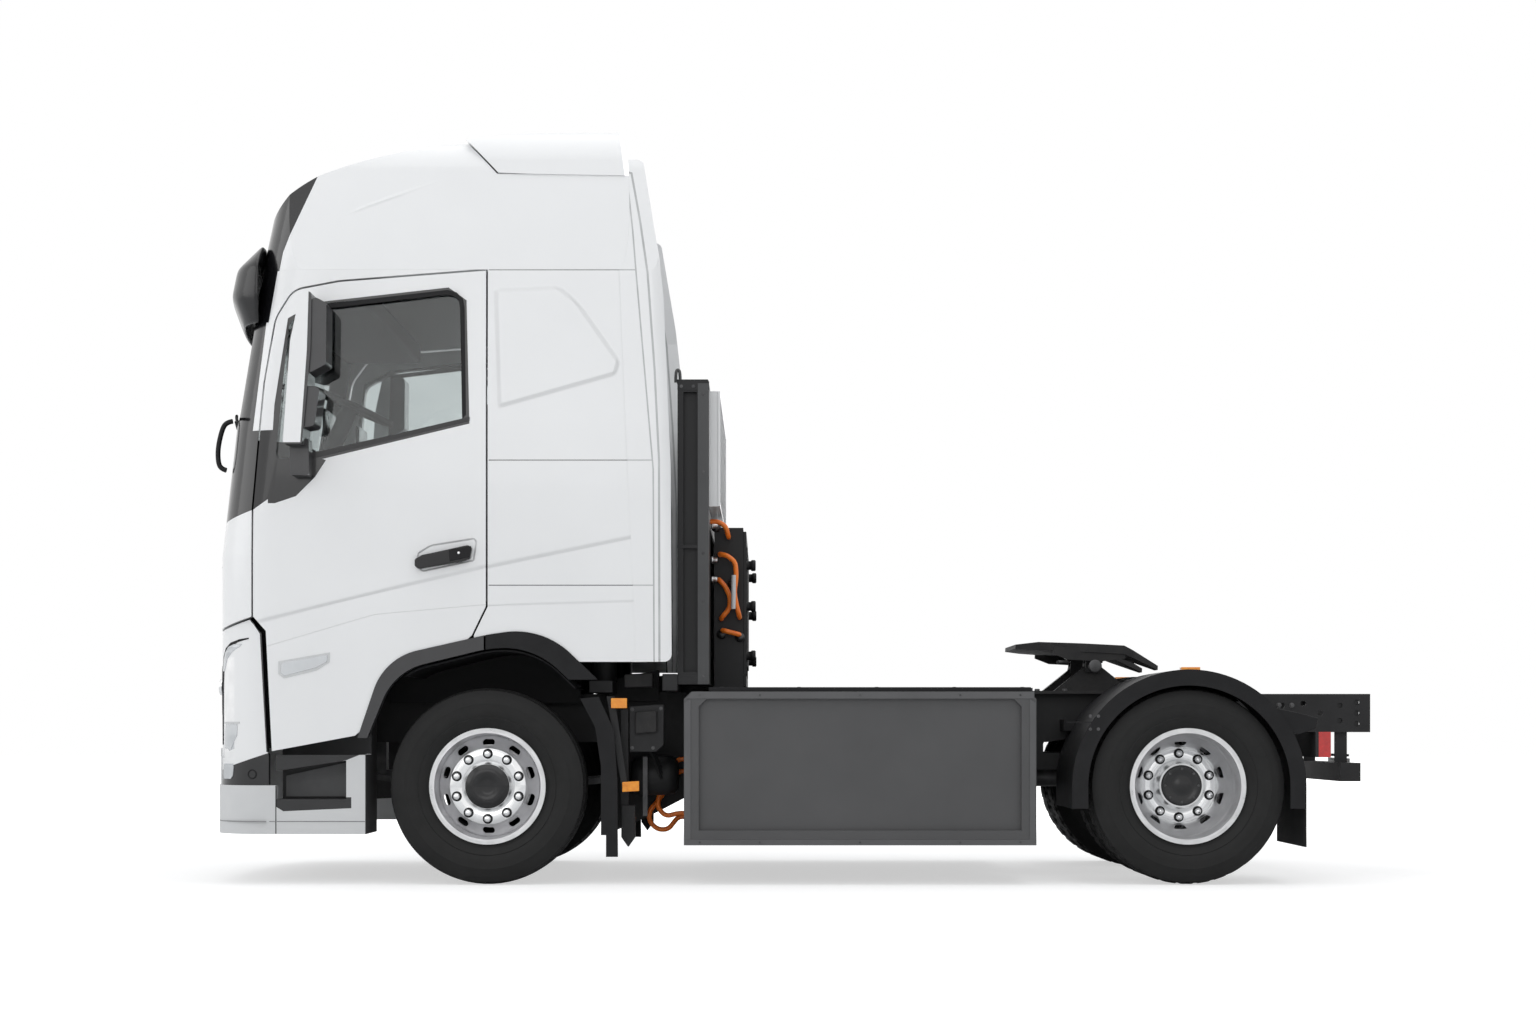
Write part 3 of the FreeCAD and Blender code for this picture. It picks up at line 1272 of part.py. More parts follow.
def add_front_end():
    gap = D.panel_gap
    wide = D.cab_half_width * 1.4
    far_front = ahead(D.front_overhang * 1.3)
    wall = D.panel_wall

    def skin(height_low, height_high, front, inset):
        wires = [plan_section(height, ahead(front), behind(D.cab_rear_reach),
                              D.fixed_half_width, inset) for height in (height_low, height_high)]
        return Part.makeLoft(wires, True, True)

    top = D.seam_door_height + gap
    outer = skin(D.panel_bottom, top, D.cab_front_reach, 0)
    inner = skin(D.panel_bottom - gap, top + gap, D.cab_front_reach, wall)
    ring = outer.cut(inner)
    zone = box(far_front, ahead(D.panel_rear_reach), -wide, wide, D.panel_bottom, top)
    middle = box(far_front, 0, -D.panel_inner_half, D.panel_inner_half, 0, top * 1.2)
    above = box(far_front, 0, -wide, wide, 0, top * 1.2).cut(seam_cut(-gap / 2))
    beside_door = across(DOOR_SHARES, D.cab_front_reach, D.cab_top, D.panel_door_room)
    panels = ring.common(zone).cut(middle).cut(above).cut(beside_door)
    lamp_low = D.panel_bottom + (D.seam_front_height - D.panel_bottom) * 0.18
    lamp_high = D.panel_bottom + (D.seam_front_height - D.panel_bottom) * 0.86
    lamp_zone = box(far_front, ahead(D.cab_front_reach * 0.87), -wide, wide, lamp_low, lamp_high)
    lens_ring = outer.cut(skin(D.panel_bottom - gap, top + gap, D.cab_front_reach,
                               D.headlamp_wall))
    lamp_middle = box(far_front, 0, -D.panel_inner_half - 3 * gap, D.panel_inner_half + 3 * gap,
                      0, top * 1.2)
    lenses = lens_ring.common(lamp_zone).cut(lamp_middle)
    panels = panels.cut(lens_ring.common(lamp_zone).cut(lamp_middle))
    node("headlamp_panels", shaped("headlamp_panels", panels))
    node("headlamps", shaped("headlamps", lenses))

    outer = skin(D.bumper_bottom, D.bumper_top, D.front_overhang, 0)
    inner = skin(D.bumper_bottom - gap, D.bumper_top + gap, D.front_overhang, wall * 1.5)
    bumper = outer.cut(inner).common(box(far_front, ahead(D.step_front_reach) , -wide, wide,
                                         D.bumper_bottom, D.bumper_top))
    side_cut = box(far_front, 0, D.panel_inner_half - gap, wide, D.panel_bottom - D.seat_gap,
                   D.bumper_top + gap)
    other = box(far_front, 0, -wide, -D.panel_inner_half + gap, D.panel_bottom - D.seat_gap,
                D.bumper_top + gap)
    bumper = bumper.cut(side_cut).cut(other)
    for side in (-1, 1):
        near = side * D.intake_inner_half
        far = side * D.panel_inner_half
        bumper = bumper.cut(box(far_front, 0, min(near, far), max(near, far), D.intake_bottom,
                                D.bumper_top + gap))
    node("front_bumper", shaped("front_bumper", bumper))

    steps = []
    front = ahead(D.step_front_reach) + D.seat_gap
    rear = ahead(D.step_rear_reach)
    length = rear - front
    recess = (D.fixed_half_width - D.step_inner_half) * 0.5
    for side in (-1, 1):
        low_y = min(side * D.step_inner_half, side * D.fixed_half_width)
        high_y = max(side * D.step_inner_half, side * D.fixed_half_width)
        unit = box(front, rear, low_y, high_y, D.bumper_bottom, D.step_top)
        out_y = side * (D.fixed_half_width + gap)
        in_y = side * (D.fixed_half_width - recess)
        notch = prism(spread(STEP_NOTCH_SHARES, front, length, D.bumper_bottom,
                             D.step_top - D.bumper_bottom), "y", min(in_y, out_y),
                      max(in_y, out_y))
        steps.append(unit.cut(notch))
        low_y = min(side * D.step_inner_half, side * (D.fixed_half_width - recess))
        high_y = max(side * D.step_inner_half, side * (D.fixed_half_width - recess))
        steps[-1] = steps[-1].fuse(box(front, rear, low_y, high_y, D.step_top,
                                       D.step_top + D.step_top * 0.55)).removeSplitter()
    node("step_units", shaped("step_units", Part.makeCompound(steps)))

    carriers = []
    for side in (-1, 1):
        inner_y = side * D.frame_half_width
        outer_y = side * D.step_inner_half
        low_y = min(inner_y, outer_y)
        carriers.append(box(ahead(D.rail_front_reach * 0.8), ahead(D.rail_front_reach * 0.7),
                            low_y, low_y + D.step_inner_half - D.frame_half_width,
                            RAIL_BOTTOM, RAIL_BOTTOM + D.crossmember_width))
    node("front_carriers", shaped("front_carriers", Part.makeCompound(carriers)))


# Boxes, tower and cables

def add_boxes():
    front = behind(D.battery_front_reach)
    length = D.battery_rear_reach - D.battery_front_reach
    body = new_body("battery_box")
    centre = (D.battery_outer_half + D.battery_inner_half) / 2
    chamfer = D.battery_rail
    outline = [(front, D.battery_bottom), (front + length, D.battery_bottom),
               (front + length, D.frame_top - chamfer), (front + length - chamfer, D.frame_top),
               (front + chamfer, D.frame_top), (front, D.frame_top - chamfer)]
    pad(body, "XZ_Plane", [rounded_curves(outline)], "battery_outer_half - battery_inner_half",
        centre)
    rail = D.battery_rail
    slope = 2 * rail
    panel = [(front + 2 * rail, D.battery_bottom + slope), (front + length - 2 * rail,
                                                           D.battery_bottom + slope),
             (front + length - 2 * rail, D.frame_top - slope),
             (front + length - slope - rail, D.frame_top - rail),
             (front + slope + rail, D.frame_top - rail), (front + 2 * rail, D.frame_top - slope)]
    pocket(body, "XZ_Plane", [rounded_curves(panel)], "battery_recess * 2", D.battery_outer_half)
    hangers = []
    for share in (0.2, 0.8):
        hanger = DOCUMENT.addObject("Part::Box", "battery_hanger")
        bind(hanger, {"Length": "crossmember_width",
                      "Width": "battery_inner_half - frame_half_width",
                      "Height": "rail_height * 0.8"})
        hanger.Placement = Placement(Vector(front + share * length, -D.battery_inner_half,
                                            RAIL_BOTTOM + D.rail_wall), Rotation())
        hangers.append(hanger)
    solid = joined("battery_solid", [body] + hangers)
    group("battery_boxes", [solid, mirrored(solid)])

    deck_front = behind(D.deck_front_reach)
    node("deck_plate", block("deck_plate", ("fifth_wheel_reach - base_plate_length / 2"
                                            " - deck_clearance - deck_front_reach",
                                            "deck_half_width * 2", "deck_thickness"),
                             (deck_front, -D.deck_half_width, D.frame_top)))


def add_tower():
    front = behind(D.tower_front_reach)
    low = D.tower_bottom
    high = D.tower_top
    half = D.tower_half_width
    body = new_body("tower")
    outline = rectangle(-half, half, low, high)
    pad(body, "YZ_Plane", [rounded_curves(outline)], "tower_depth", D.tower_depth / 2)
    post = D.tower_post
    side_panel = rectangle(post / 2, D.tower_depth - post, low + post, high - post)
    for side in (-1, 1):
        pocket(body, "XZ_Plane", [rounded_curves(side_panel)], "tower_recess * 2", -side * half)
    body.Placement = Placement(Vector(front, 0, 0), Rotation())
    feet = []
    for side in (-1, 1):
        foot = DOCUMENT.addObject("Part::Box", "tower_foot")
        bind(foot, {"Length": "tower_depth", "Width": "rail_flange"})
        foot.Height = low - D.frame_top
        low_y = side * (D.frame_half_width - D.rail_flange / 2) - D.rail_flange / 2
        foot.Placement = Placement(Vector(front, low_y, D.frame_top), Rotation())
        feet.append(foot)
    node("equipment_tower", joined("equipment_tower", [body] + feet))

    unit_front = behind(D.power_unit_reach)
    deck_top = D.frame_top + D.deck_thickness
    unit = DOCUMENT.addObject("Part::Box", "power_unit")
    bind(unit, {"Length": "power_unit_depth", "Width": "power_unit_half_width * 2"})
    unit.Height = D.power_unit_top - deck_top
    unit.Placement = Placement(Vector(unit_front, -D.power_unit_half_width, deck_top), Rotation())
    node("power_unit", unit)
    cooler = DOCUMENT.addObject("Part::Box", "cooler")
    bind(cooler, {"Length": "cooler_depth", "Width": "cooler_half_width * 2",
                  "Height": "cooler_top - cooler_bottom"})
    cooler.Placement = Placement(Vector(front + D.tower_depth, -D.cooler_half_width,
                                        D.cooler_bottom), Rotation())
    node("cooler", cooler)


def cable(points, radius):
    """A round cable along straight runs joined by tangent arcs as large as the runs allow."""
    places = [Vector(*point) for point in points]
    edges = []
    start = places[0]
    for index in range(1, len(places) - 1):
        here = places[index]
        back = places[index - 1] - here
        on = places[index + 1] - here
        turn = math.pi - back.getAngle(on)
        reach = min(back.Length, on.Length) * 0.45
        bend = reach / math.tan(turn / 2)
        inward = (back.normalize() + on.normalize()).normalize()
        middle = here + inward * (bend / math.cos(turn / 2) - bend)
        enter = here + back * reach
        leave = here + on * reach
        edges.append(Part.LineSegment(start, enter).toShape())
        edges.append(Part.Arc(enter, middle, leave).toShape())
        start = leave
    edges.append(Part.LineSegment(start, places[-1]).toShape())
    path = Part.Wire(edges)
    first = places[1] - places[0]
    section = Part.Wire([Part.Circle(places[0], first, radius).toShape()])
    pipe = path.makePipeShell([section], True, False)
    return Part.Solid(pipe) if pipe.ShapeType == "Shell" else pipe


# Places along each cable: behind the front axle, out from the face it runs beside, and height
UNIT_CABLE_ROUTES = (
    ((1185, 0, 1735), (1185, 60, 1735), (1225, 82, 1725), (1268, 85, 1690), (1274, 85, 1610),
     (1262, 85, 1530), (1272, 85, 1470), (1290, 70, 1400), (1290, 0, 1400)),
    ((1180, 0, 1600), (1180, 52, 1600), (1216, 62, 1560), (1240, 62, 1505), (1238, 60, 1445),
     (1192, 52, 1392), (1192, 0, 1392)),
    ((1200, 0, 1328), (1200, 54, 1328), (1288, 54, 1306), (1288, 0, 1306)),
)
TOWER_CABLE_ROUTE = ((0, 95, 1905), (44, 95, 1905), (82, 90, 1880), (95, 60, 1830), (95, 0, 1830))
BOX_CABLE_ROUTES = (
    ((0, 130, 575), (-50, 130, 575), (-105, 140, 490), (-155, 142, 420), (-203, 142, 365),
     (-206, 142, 305), (-160, 140, 262), (-104, 136, 262), (-50, 130, 330), (0, 130, 330)),
    ((0, 220, 640), (-50, 220, 640), (-105, 222, 522), (-150, 222, 450), (-158, 222, 384),
     (-114, 222, 334), (-50, 220, 352), (0, 220, 352)),
)


def add_cables():
    """High-voltage cables beside the power unit and ahead of the left battery box."""
    side = -D.power_unit_half_width - D.seat_gap
    routes = [[(behind(x), side - out, z) for x, out, z in route]
              for route in UNIT_CABLE_ROUTES]
    tower_back = behind(D.tower_front_reach) + D.tower_depth + D.seat_gap
    routes.append([(tower_back + x, side - out, z) for x, out, z in TOWER_CABLE_ROUTE])
    box_front = behind(D.battery_front_reach) - D.seat_gap
    for route in BOX_CABLE_ROUTES:
        routes.append([(box_front + x, -D.battery_inner_half - out, z) for x, out, z in route])
    solids = [cable(route, D.cable_radius) for route in routes]
    node("hv_cables", shaped("hv_cables", Part.makeCompound(solids)))


# Fifth wheel

def add_fifth_wheel():
    x = behind(D.fifth_wheel_reach)
    pin_z = D.fifth_wheel_top - D.plate_pin_drop
    base_top = D.frame_top + D.base_plate_thickness
    base = block("coupling_base", ("base_plate_length", "(frame_half_width + rail_flange) * 2",
                                   "base_plate_thickness"),
                 (x - D.base_plate_length / 2, -D.frame_half_width - D.rail_flange, D.frame_top))
    stands = []
    for side in (-1, 1):
        body = new_body("pedestal")
        spread_x = D.base_plate_length * 0.28
        eye = D.plate_pin_radius * 1.8
        outline = [(x - spread_x, base_top), (x + spread_x, base_top),
                   (x + eye, pin_z, eye * 0.4), (x + eye, pin_z + eye * 0.6, eye * 0.4),
                   (x - eye, pin_z + eye * 0.6, eye * 0.4), (x - eye, pin_z, eye * 0.4)]
        hole = circle(x, pin_z, D.plate_pin_radius + D.running_gap)
        pad(body, "XZ_Plane", [rounded_curves(outline), hole], "pedestal_width",
            -side * D.pedestal_half)
        stands.append(body)
    node("fifth_wheel_base", joined("fifth_wheel_base", [base] + stands))

    plate = new_body("coupling_plate")
    front = -D.plate_front_length
    rear = D.plate_rear_length
    half = D.plate_half_width
    mouth = D.plate_mouth_width / 2
    slot = D.plate_slot_width / 2
    bore = D.kingpin_slot_radius
    outline = [
        (front, -half * 0.62), (-D.plate_pin_radius * 3, -half, half * 0.2),
        (rear * 0.55, -half, half * 0.1), (rear, -half * 0.72), (rear, -mouth * 0.8),
        (bore * 3, -slot * 0.6), (bore * 3, slot * 0.6),
        (rear, mouth * 0.8), (rear, half * 0.72), (rear * 0.55, half, half * 0.1),
        (-D.plate_pin_radius * 3, half, half * 0.2), (front, half * 0.62),
    ]
    depth = D.plate_thickness + D.plate_ramp_drop
    pad(plate, "XY_Plane", [rounded_curves(outline), circle(0, 0, bore)],
        "(plate_thickness + plate_ramp_drop)", -depth / 2)
    profile_body = new_body("coupling_profile")
    thick = D.plate_thickness
    profile = [(front, -thick * 0.4), (front * 0.72, 0), (rear * 0.42, 0),
               (rear, -D.plate_ramp_drop), (rear, -D.plate_ramp_drop - thick * 0.5),
               (rear * 0.42, -thick), (front * 0.8, -thick), (front, -thick * 0.9)]
    pad(profile_body, "XZ_Plane", [rounded_curves(profile)], "plate_half_width * 3")
    ramped = DOCUMENT.addObject("Part::MultiCommon", "ramped_plate")
    ramped.Shapes = [plate, profile_body]
    lugs = []
    rib_profile = [(front * 0.55, -thick / 2), (rear * 0.45, -thick / 2),
                   (rear * 0.45, -thick * 1.5), (rear * 0.1, -D.plate_rib_depth),
                   (front * 0.35, -D.plate_rib_depth), (front * 0.55, -thick * 1.4)]
    for side in (-1, 1):
        rib = new_body("plate_rib")
        pad(rib, "XZ_Plane", [rounded_curves(rib_profile)], "plate_rib_wall",
            side * (half - D.plate_rib_wall * 0.8))
        lugs.append(rib)
    inner = D.pedestal_half - D.pedestal_width / 2 - D.panel_gap / 2
    outer = D.pedestal_half + D.pedestal_width / 2 + D.panel_gap / 2
    wall = D.plate_pin_radius
    for side in (-1, 1):
        for low in (inner - wall, outer):
            lug = DOCUMENT.addObject("Part::Box", "plate_lug")
            bind(lug, {"Length": "plate_pin_radius * 3.4", "Width": "plate_pin_radius",
                       "Height": "plate_pin_drop + plate_pin_radius * 1.2 - plate_thickness"})
            low_y = min(side * low, side * (low + wall))
            lug.Placement = Placement(
                Vector(-wall * 1.7, low_y, -D.plate_pin_drop - wall * 1.2), Rotation())
            lugs.append(lug)
        lugs.append(rod("plate_pin", "plate_pin_radius",
                        (0, side * (inner - wall), -D.plate_pin_drop),
                        (0, side * (outer + wall), -D.plate_pin_drop)))
    whole = joined("fifth_wheel_plate", [ramped] + lugs)
    pivot = Vector(0, 0, -D.plate_pin_drop)
    turn = Rotation(Vector(0, 1, 0), D.plate_tilt)
    place = Placement(Vector(x, 0, D.fifth_wheel_top), Rotation())
    whole.Placement = place.multiply(Placement(Vector(0, 0, 0), turn, pivot))
    node("fifth_wheel_plate", whole)


# Mudguards and rear end

GUARD_SKIN_SHARES = ((-1.07, 0.995), (-0.30, 0.843, 0.08), (0.0, 0.635, 0.1), (0.0, 0.266))
GUARD_REAR_SHARES = ((0.26, 0.266), (0.26, 0.150), (0.87, 0.150), (0.84, 0.56, 0.1),
                     (0.66, 0.827, 0.08), (-0.12, 1.005))


def add_mudguards():
    radius = D.fender_radius
    wall = D.fender_wall
    centre = (REAR_AXLE, D.tyre_radius)
    low = D.fender_bottom
    body = new_body("rear_fender")
    left = Vector(centre[0] - radius, centre[1], 0)
    right = Vector(centre[0] + radius, centre[1], 0)
    crown = Vector(centre[0], centre[1] + radius, 0)
    in_left = left + Vector(wall, 0, 0)
    in_right = right - Vector(wall, 0, 0)
    in_crown = crown - Vector(0, wall, 0)
    foot = Vector(left.x, low, 0)
    in_foot = Vector(in_left.x, low, 0)
    heel = Vector(right.x, low, 0)
    in_heel = Vector(in_right.x, low, 0)
    curves = [Part.LineSegment(foot, left), Part.Arc(left, crown, right),
              Part.LineSegment(right, heel), Part.LineSegment(heel, in_heel),
              Part.LineSegment(in_heel, in_right), Part.Arc(in_right, in_crown, in_left),
              Part.LineSegment(in_left, in_foot), Part.LineSegment(in_foot, foot)]
    middle = (D.fender_outer_half + D.fender_inner_half) / 2
    pad(body, "XZ_Plane", [curves], "fender_outer_half - fender_inner_half", middle)
    strut_z = TAIL_BOTTOM + wall
    reach = math.sqrt((radius - 2 * wall) ** 2 - (strut_z - D.tyre_radius) ** 2)
    struts = []
    for strut_x in (REAR_AXLE + reach, REAR_AXLE - reach - D.fender_strut):
        strut = DOCUMENT.addObject("Part::Box", "fender_strut")
        bind(strut, {"Length": "fender_strut", "Height": "fender_strut",
                     "Width": "fender_inner_half - frame_half_width + rail_flange"})
        strut.Placement = Placement(
            Vector(strut_x, -D.fender_inner_half - D.rail_flange, strut_z), Rotation())
        struts.append(strut)
    flap = DOCUMENT.addObject("Part::Box", "rear_flap")
    bind(flap, {"Length": "flap_wall", "Width": "fender_outer_half - fender_inner_half",
                "Height": "fender_bottom * 0.5"})
    flap.Placement = Placement(Vector(right.x - wall, -D.fender_outer_half,
                                      low - D.fender_bottom * 0.5), Rotation())
    lip_radius = radius - D.fender_lip
    lip_left = left + Vector(D.fender_lip, 0, 0)
    lip_right = right - Vector(D.fender_lip, 0, 0)
    lip_crown = Vector(centre[0], centre[1] + lip_radius, 0)
    low_left = Vector(lip_left.x, low, 0)
    low_right = Vector(lip_right.x, low, 0)
    lip = new_body("fender_lip")
    lip_curves = [Part.LineSegment(foot, left), Part.Arc(left, crown, right),
                  Part.LineSegment(right, heel), Part.LineSegment(heel, low_right),
                  Part.LineSegment(low_right, lip_right),
                  Part.Arc(lip_right, lip_crown, lip_left),
                  Part.LineSegment(lip_left, low_left), Part.LineSegment(low_left, foot)]
    pad(lip, "XZ_Plane", [lip_curves], "fender_lip_wall",
        D.fender_outer_half - D.fender_lip_wall / 2)
    whole = joined("fender_solid", [body, lip, flap] + struts)
    group("rear_fenders", [whole, mirrored(whole)])

    guard = new_body("front_guard")
    front = behind(D.tyre_radius * 1.155)
    high = D.tyre_radius * 1.9
    skin = spread(GUARD_SKIN_SHARES, front, D.guard_depth, 0, high)
    rear = spread(GUARD_REAR_SHARES, front, D.guard_depth, 0, high)
    behind_skin = [(point[0] + D.guard_wall,) + point[1:] for point in reversed(skin)]
    middle = (D.guard_inner_half + D.guard_outer_half) / 2
    pad(guard, "XZ_Plane", [rounded_curves(skin + behind_skin)],
        "guard_outer_half - guard_inner_half", middle)
    cheek = new_body("front_guard_cheek")
    pad(cheek, "XZ_Plane", [rounded_curves(skin + rear)], "fender_lip_wall",
        D.guard_outer_half - D.fender_lip_wall / 2)
    arm = DOCUMENT.addObject("Part::Box", "guard_arm")
    bind(arm, {"Length": "crossmember_width / 2", "Height": "crossmember_width / 2",
               "Width": "guard_inner_half - frame_half_width + rail_flange"})
    arm.Placement = Placement(Vector(front - D.guard_wall * 1.5, -D.guard_inner_half - D.rail_flange,
                                     RAIL_BOTTOM + D.rail_wall), Rotation())
    whole = joined("guard_solid", [guard, cheek, arm])
    group("front_mudguards", [whole, mirrored(whole)])


def add_rear_end():
    bar_x = REAR_AXLE + D.underrun_reach
    bar = block("underrun_beam", ("underrun_depth", "underrun_half_width * 2",
                                  "underrun_height"),
                (bar_x, -D.underrun_half_width, D.underrun_bottom))
    tail_bottom = TAIL_BOTTOM
    hangers = []
    for side in (-1, 1):
        hanger = DOCUMENT.addObject("Part::Box", "underrun_hanger")
        bind(hanger, {"Length": "underrun_depth * 0.6", "Width": "hanger_wall"})
        hanger.Height = tail_bottom - D.underrun_bottom - D.underrun_height
        y = side * (D.frame_half_width - D.rail_flange / 2) - D.hanger_wall / 2
        hanger.Placement = Placement(Vector(bar_x, y, D.underrun_bottom + D.underrun_height),
                                     Rotation())
        hangers.append(hanger)
    lamp_x = REAR_AXLE + D.fender_radius + D.lamp_depth
    inner = D.fender_outer_half - D.lamp_width
    for side in (-1, 1):
        arm = DOCUMENT.addObject("Part::Box", "lamp_arm")
        bind(arm, {"Length": "hanger_wall", "Height": "lamp_height"})
        arm.Width = D.fender_outer_half - D.frame_half_width
        low_y = min(side * D.frame_half_width, side * D.fender_outer_half)
        arm.Placement = Placement(Vector(lamp_x - D.hanger_wall, low_y, D.lamp_bottom),
                                  Rotation())
        plate = DOCUMENT.addObject("Part::Box", "lamp_plate")
        bind(plate, {"Length": "hanger_wall * 4", "Width": "hanger_wall"})
        plate.Height = tail_bottom + D.rail_tail_height / 2 - D.lamp_bottom
        plate_y = min(side * D.frame_half_width, side * (D.frame_half_width + D.hanger_wall))
        plate.Placement = Placement(Vector(lamp_x - D.hanger_wall * 4, plate_y, D.lamp_bottom),
                                    Rotation())
        hangers.append(joined("lamp_carrier", [arm, plate]))
    group("rear_underrun", [joined("underrun_frame", [bar] + hangers[:2])] + hangers[2:])
    lamps = []
    for side in (-1, 1):
        lamp = DOCUMENT.addObject("Part::Box", "tail_lamp")
        bind(lamp, {"Length": "lamp_depth", "Width": "lamp_width", "Height": "lamp_height"})
        low_y = min(side * inner, side * D.fender_outer_half)
        lamp.Placement = Placement(Vector(lamp_x, low_y, D.lamp_bottom), Rotation())
        lamps.append(lamp)
    group("tail_lamps", lamps)


# Build

add_wheels()
add_front_axle()
add_knuckles()
add_tie_rod()
add_suspension()
add_rear_axle()
add_drive()
add_frame()
add_cab_mounts()
SHELL, DOOR_LEAF, ARCH, TRIM = add_cab()
add_doors(SHELL, DOOR_LEAF, ARCH, TRIM)
add_cab_inside()
add_tilt_arms()
add_front_end()
add_boxes()
add_tower()
add_cables()
add_fifth_wheel()
add_mudguards()
add_rear_end()
DOCUMENT.recompute()


def check_document():
    for item in DOCUMENT.Objects:
        if "Invalid" in item.State or "Error" in item.State:
            raise RuntimeError(item.Label + " failed: " + str(item.State))
    broken = [item.Label for item in NODES
              if item.Shape.isNull() or not item.Shape.isValid() or not item.Shape.Solids]
    if broken:
        raise RuntimeError("no valid solid: " + ", ".join(broken))


def write_parts():
    os.makedirs("parts", exist_ok=True)
    for item in NODES:
        item.Shape.exportStep("parts/" + item.Label + ".step")
        print(item.Label, len(item.Shape.Solids), round(item.Shape.Volume / 1000))


check_document()
write_parts()
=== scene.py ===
import functools
import itertools
import math

import bpy
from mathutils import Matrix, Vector


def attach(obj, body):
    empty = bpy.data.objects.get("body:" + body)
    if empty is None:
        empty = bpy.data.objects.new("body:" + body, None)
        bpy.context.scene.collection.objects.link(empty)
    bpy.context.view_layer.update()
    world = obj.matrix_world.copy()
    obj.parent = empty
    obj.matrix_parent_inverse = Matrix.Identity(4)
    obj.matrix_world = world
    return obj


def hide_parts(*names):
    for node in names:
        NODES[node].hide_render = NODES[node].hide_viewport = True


# Looks for the electric tractor unit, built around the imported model, in metres.

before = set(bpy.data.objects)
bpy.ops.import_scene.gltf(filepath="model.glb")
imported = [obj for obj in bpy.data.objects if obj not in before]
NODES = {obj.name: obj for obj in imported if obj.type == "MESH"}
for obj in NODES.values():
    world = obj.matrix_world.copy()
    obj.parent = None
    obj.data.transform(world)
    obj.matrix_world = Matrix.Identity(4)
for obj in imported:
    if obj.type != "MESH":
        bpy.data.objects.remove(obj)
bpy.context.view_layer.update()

# Places that several pieces share
SIDES = ((-1, "left"), (1, "right"))
FRONT_AXLE = -1.6025
REAR_AXLE = 1.9975
WHEEL_Z = 0.506
PANEL_REACH = 1.5
PANEL_FRONT = FRONT_AXLE - PANEL_REACH
PANEL_BOW = 5.0

# The left side's place in the photograph: the front axle's column, the ground's row and the scale
AXLE_ACROSS = 487.0
GROUND_DOWN = 885.0
PIXELS_PER_METRE = 195.0


def photo_place(across, down):
    """A place in the side view, in x and z, from its place in the photograph."""
    return ((across - AXLE_ACROSS) / PIXELS_PER_METRE + FRONT_AXLE,
            (GROUND_DOWN - down) / PIXELS_PER_METRE)


def photo_outline(points):
    return [photo_place(*point) for point in points]


def photo_spots(y, points):
    return [(x, y, z) for x, z in photo_outline(points)]


# Materials

COAT_ROUGH = 0.05
LEAST_ROUGH = 0.02
GRAIN_DEPTH = 0.002
THREAD_DEPTH = 0.001
SECOND_TONE_RISE = 1.25


def connect(tree, item, inputs):
    """Links an input to the socket given for it, or sets it to the value given."""
    for name, value in inputs.items():
        if isinstance(value, bpy.types.NodeSocket):
            tree.links.new(value, item.inputs[name])
        else:
            item.inputs[name].default_value = value


def add_node(tree, kind, inputs=None, **settings):
    made = tree.nodes.new("ShaderNode" + kind)
    for name, value in settings.items():
        setattr(made, name, value)
    connect(tree, made, inputs or {})
    return made


def maths(tree, operation, *values):
    return add_node(tree, "Math", dict(enumerate(values)), operation=operation).outputs["Value"]


def vector_maths(tree, operation, result, *values):
    made = add_node(tree, "VectorMath", dict(enumerate(values)), operation=operation)
    return made.outputs[result]


def own_place(tree):
    return add_node(tree, "TexCoord").outputs["Object"]


def new_material(name):
    made = bpy.data.materials.new(name)
    made.use_nodes = True
    tree = made.node_tree
    tree.nodes.clear()
    shader = add_node(tree, "BsdfPrincipled")
    add_node(tree, "OutputMaterial", {"Surface": shader.outputs["BSDF"]})
    return made, tree, shader


def shader_of(tree):
    return [item for item in tree.nodes if item.type == "BSDF_PRINCIPLED"][0]


def noise(tree, scale, detail=3.0):
    inputs = {"Vector": own_place(tree), "Scale": scale, "Detail": detail}
    return add_node(tree, "TexNoise", inputs).outputs["Fac"]


def ramp(tree, source, low, high, start=0.3, end=0.7):
    made = add_node(tree, "ValToRGB", {"Fac": source})
    for stop, place, tone in zip(made.color_ramp.elements, (start, end), (low, high)):
        stop.position = place
        stop.color = (*tone, 1.0)
    return made.outputs["Color"]


def press(tree, shader, height, strength, distance):
    """Gives a shader a relief, on top of the one that it has."""
    relief = add_node(tree, "Bump", {"Height": height, "Strength": strength, "Distance": distance})
    for link in list(shader.inputs["Normal"].links):
        tree.links.new(link.from_socket, relief.inputs["Normal"])
    tree.links.new(relief.outputs["Normal"], shader.inputs["Normal"])


def surface(name, low, high, rough, scale=6.0, metal=0.0, coat=0.0, bump=0.0, bump_scale=300.0,
            rough_span=0.08, specular=0.5):
    """A surface whose colour drifts between two tones and whose gloss and relief vary with it."""
    made, tree, shader = new_material(name)
    tone = noise(tree, scale, 4.0)
    gloss = add_node(tree, "MapRange", {"Value": tone, "To Max": rough + rough_span,
                                        "To Min": max(rough - rough_span, LEAST_ROUGH)})
    connect(tree, shader, {"Base Color": ramp(tree, tone, low, high),
                           "Roughness": gloss.outputs["Result"], "Metallic": metal,
                           "Specular IOR Level": specular, "Coat Weight": coat,
                           "Coat Roughness": COAT_ROUGH})
    if bump:
        press(tree, shader, noise(tree, bump_scale, 2.0), bump, GRAIN_DEPTH)
    return made


def clear_surface(name, low, high):
    made, tree, shader = new_material(name)
    connect(tree, shader, {"Base Color": ramp(tree, noise(tree, 2.0, 2.0), low, high),
                           "Roughness": LEAST_ROUGH, "IOR": 1.45, "Transmission Weight": 1.0})
    return made


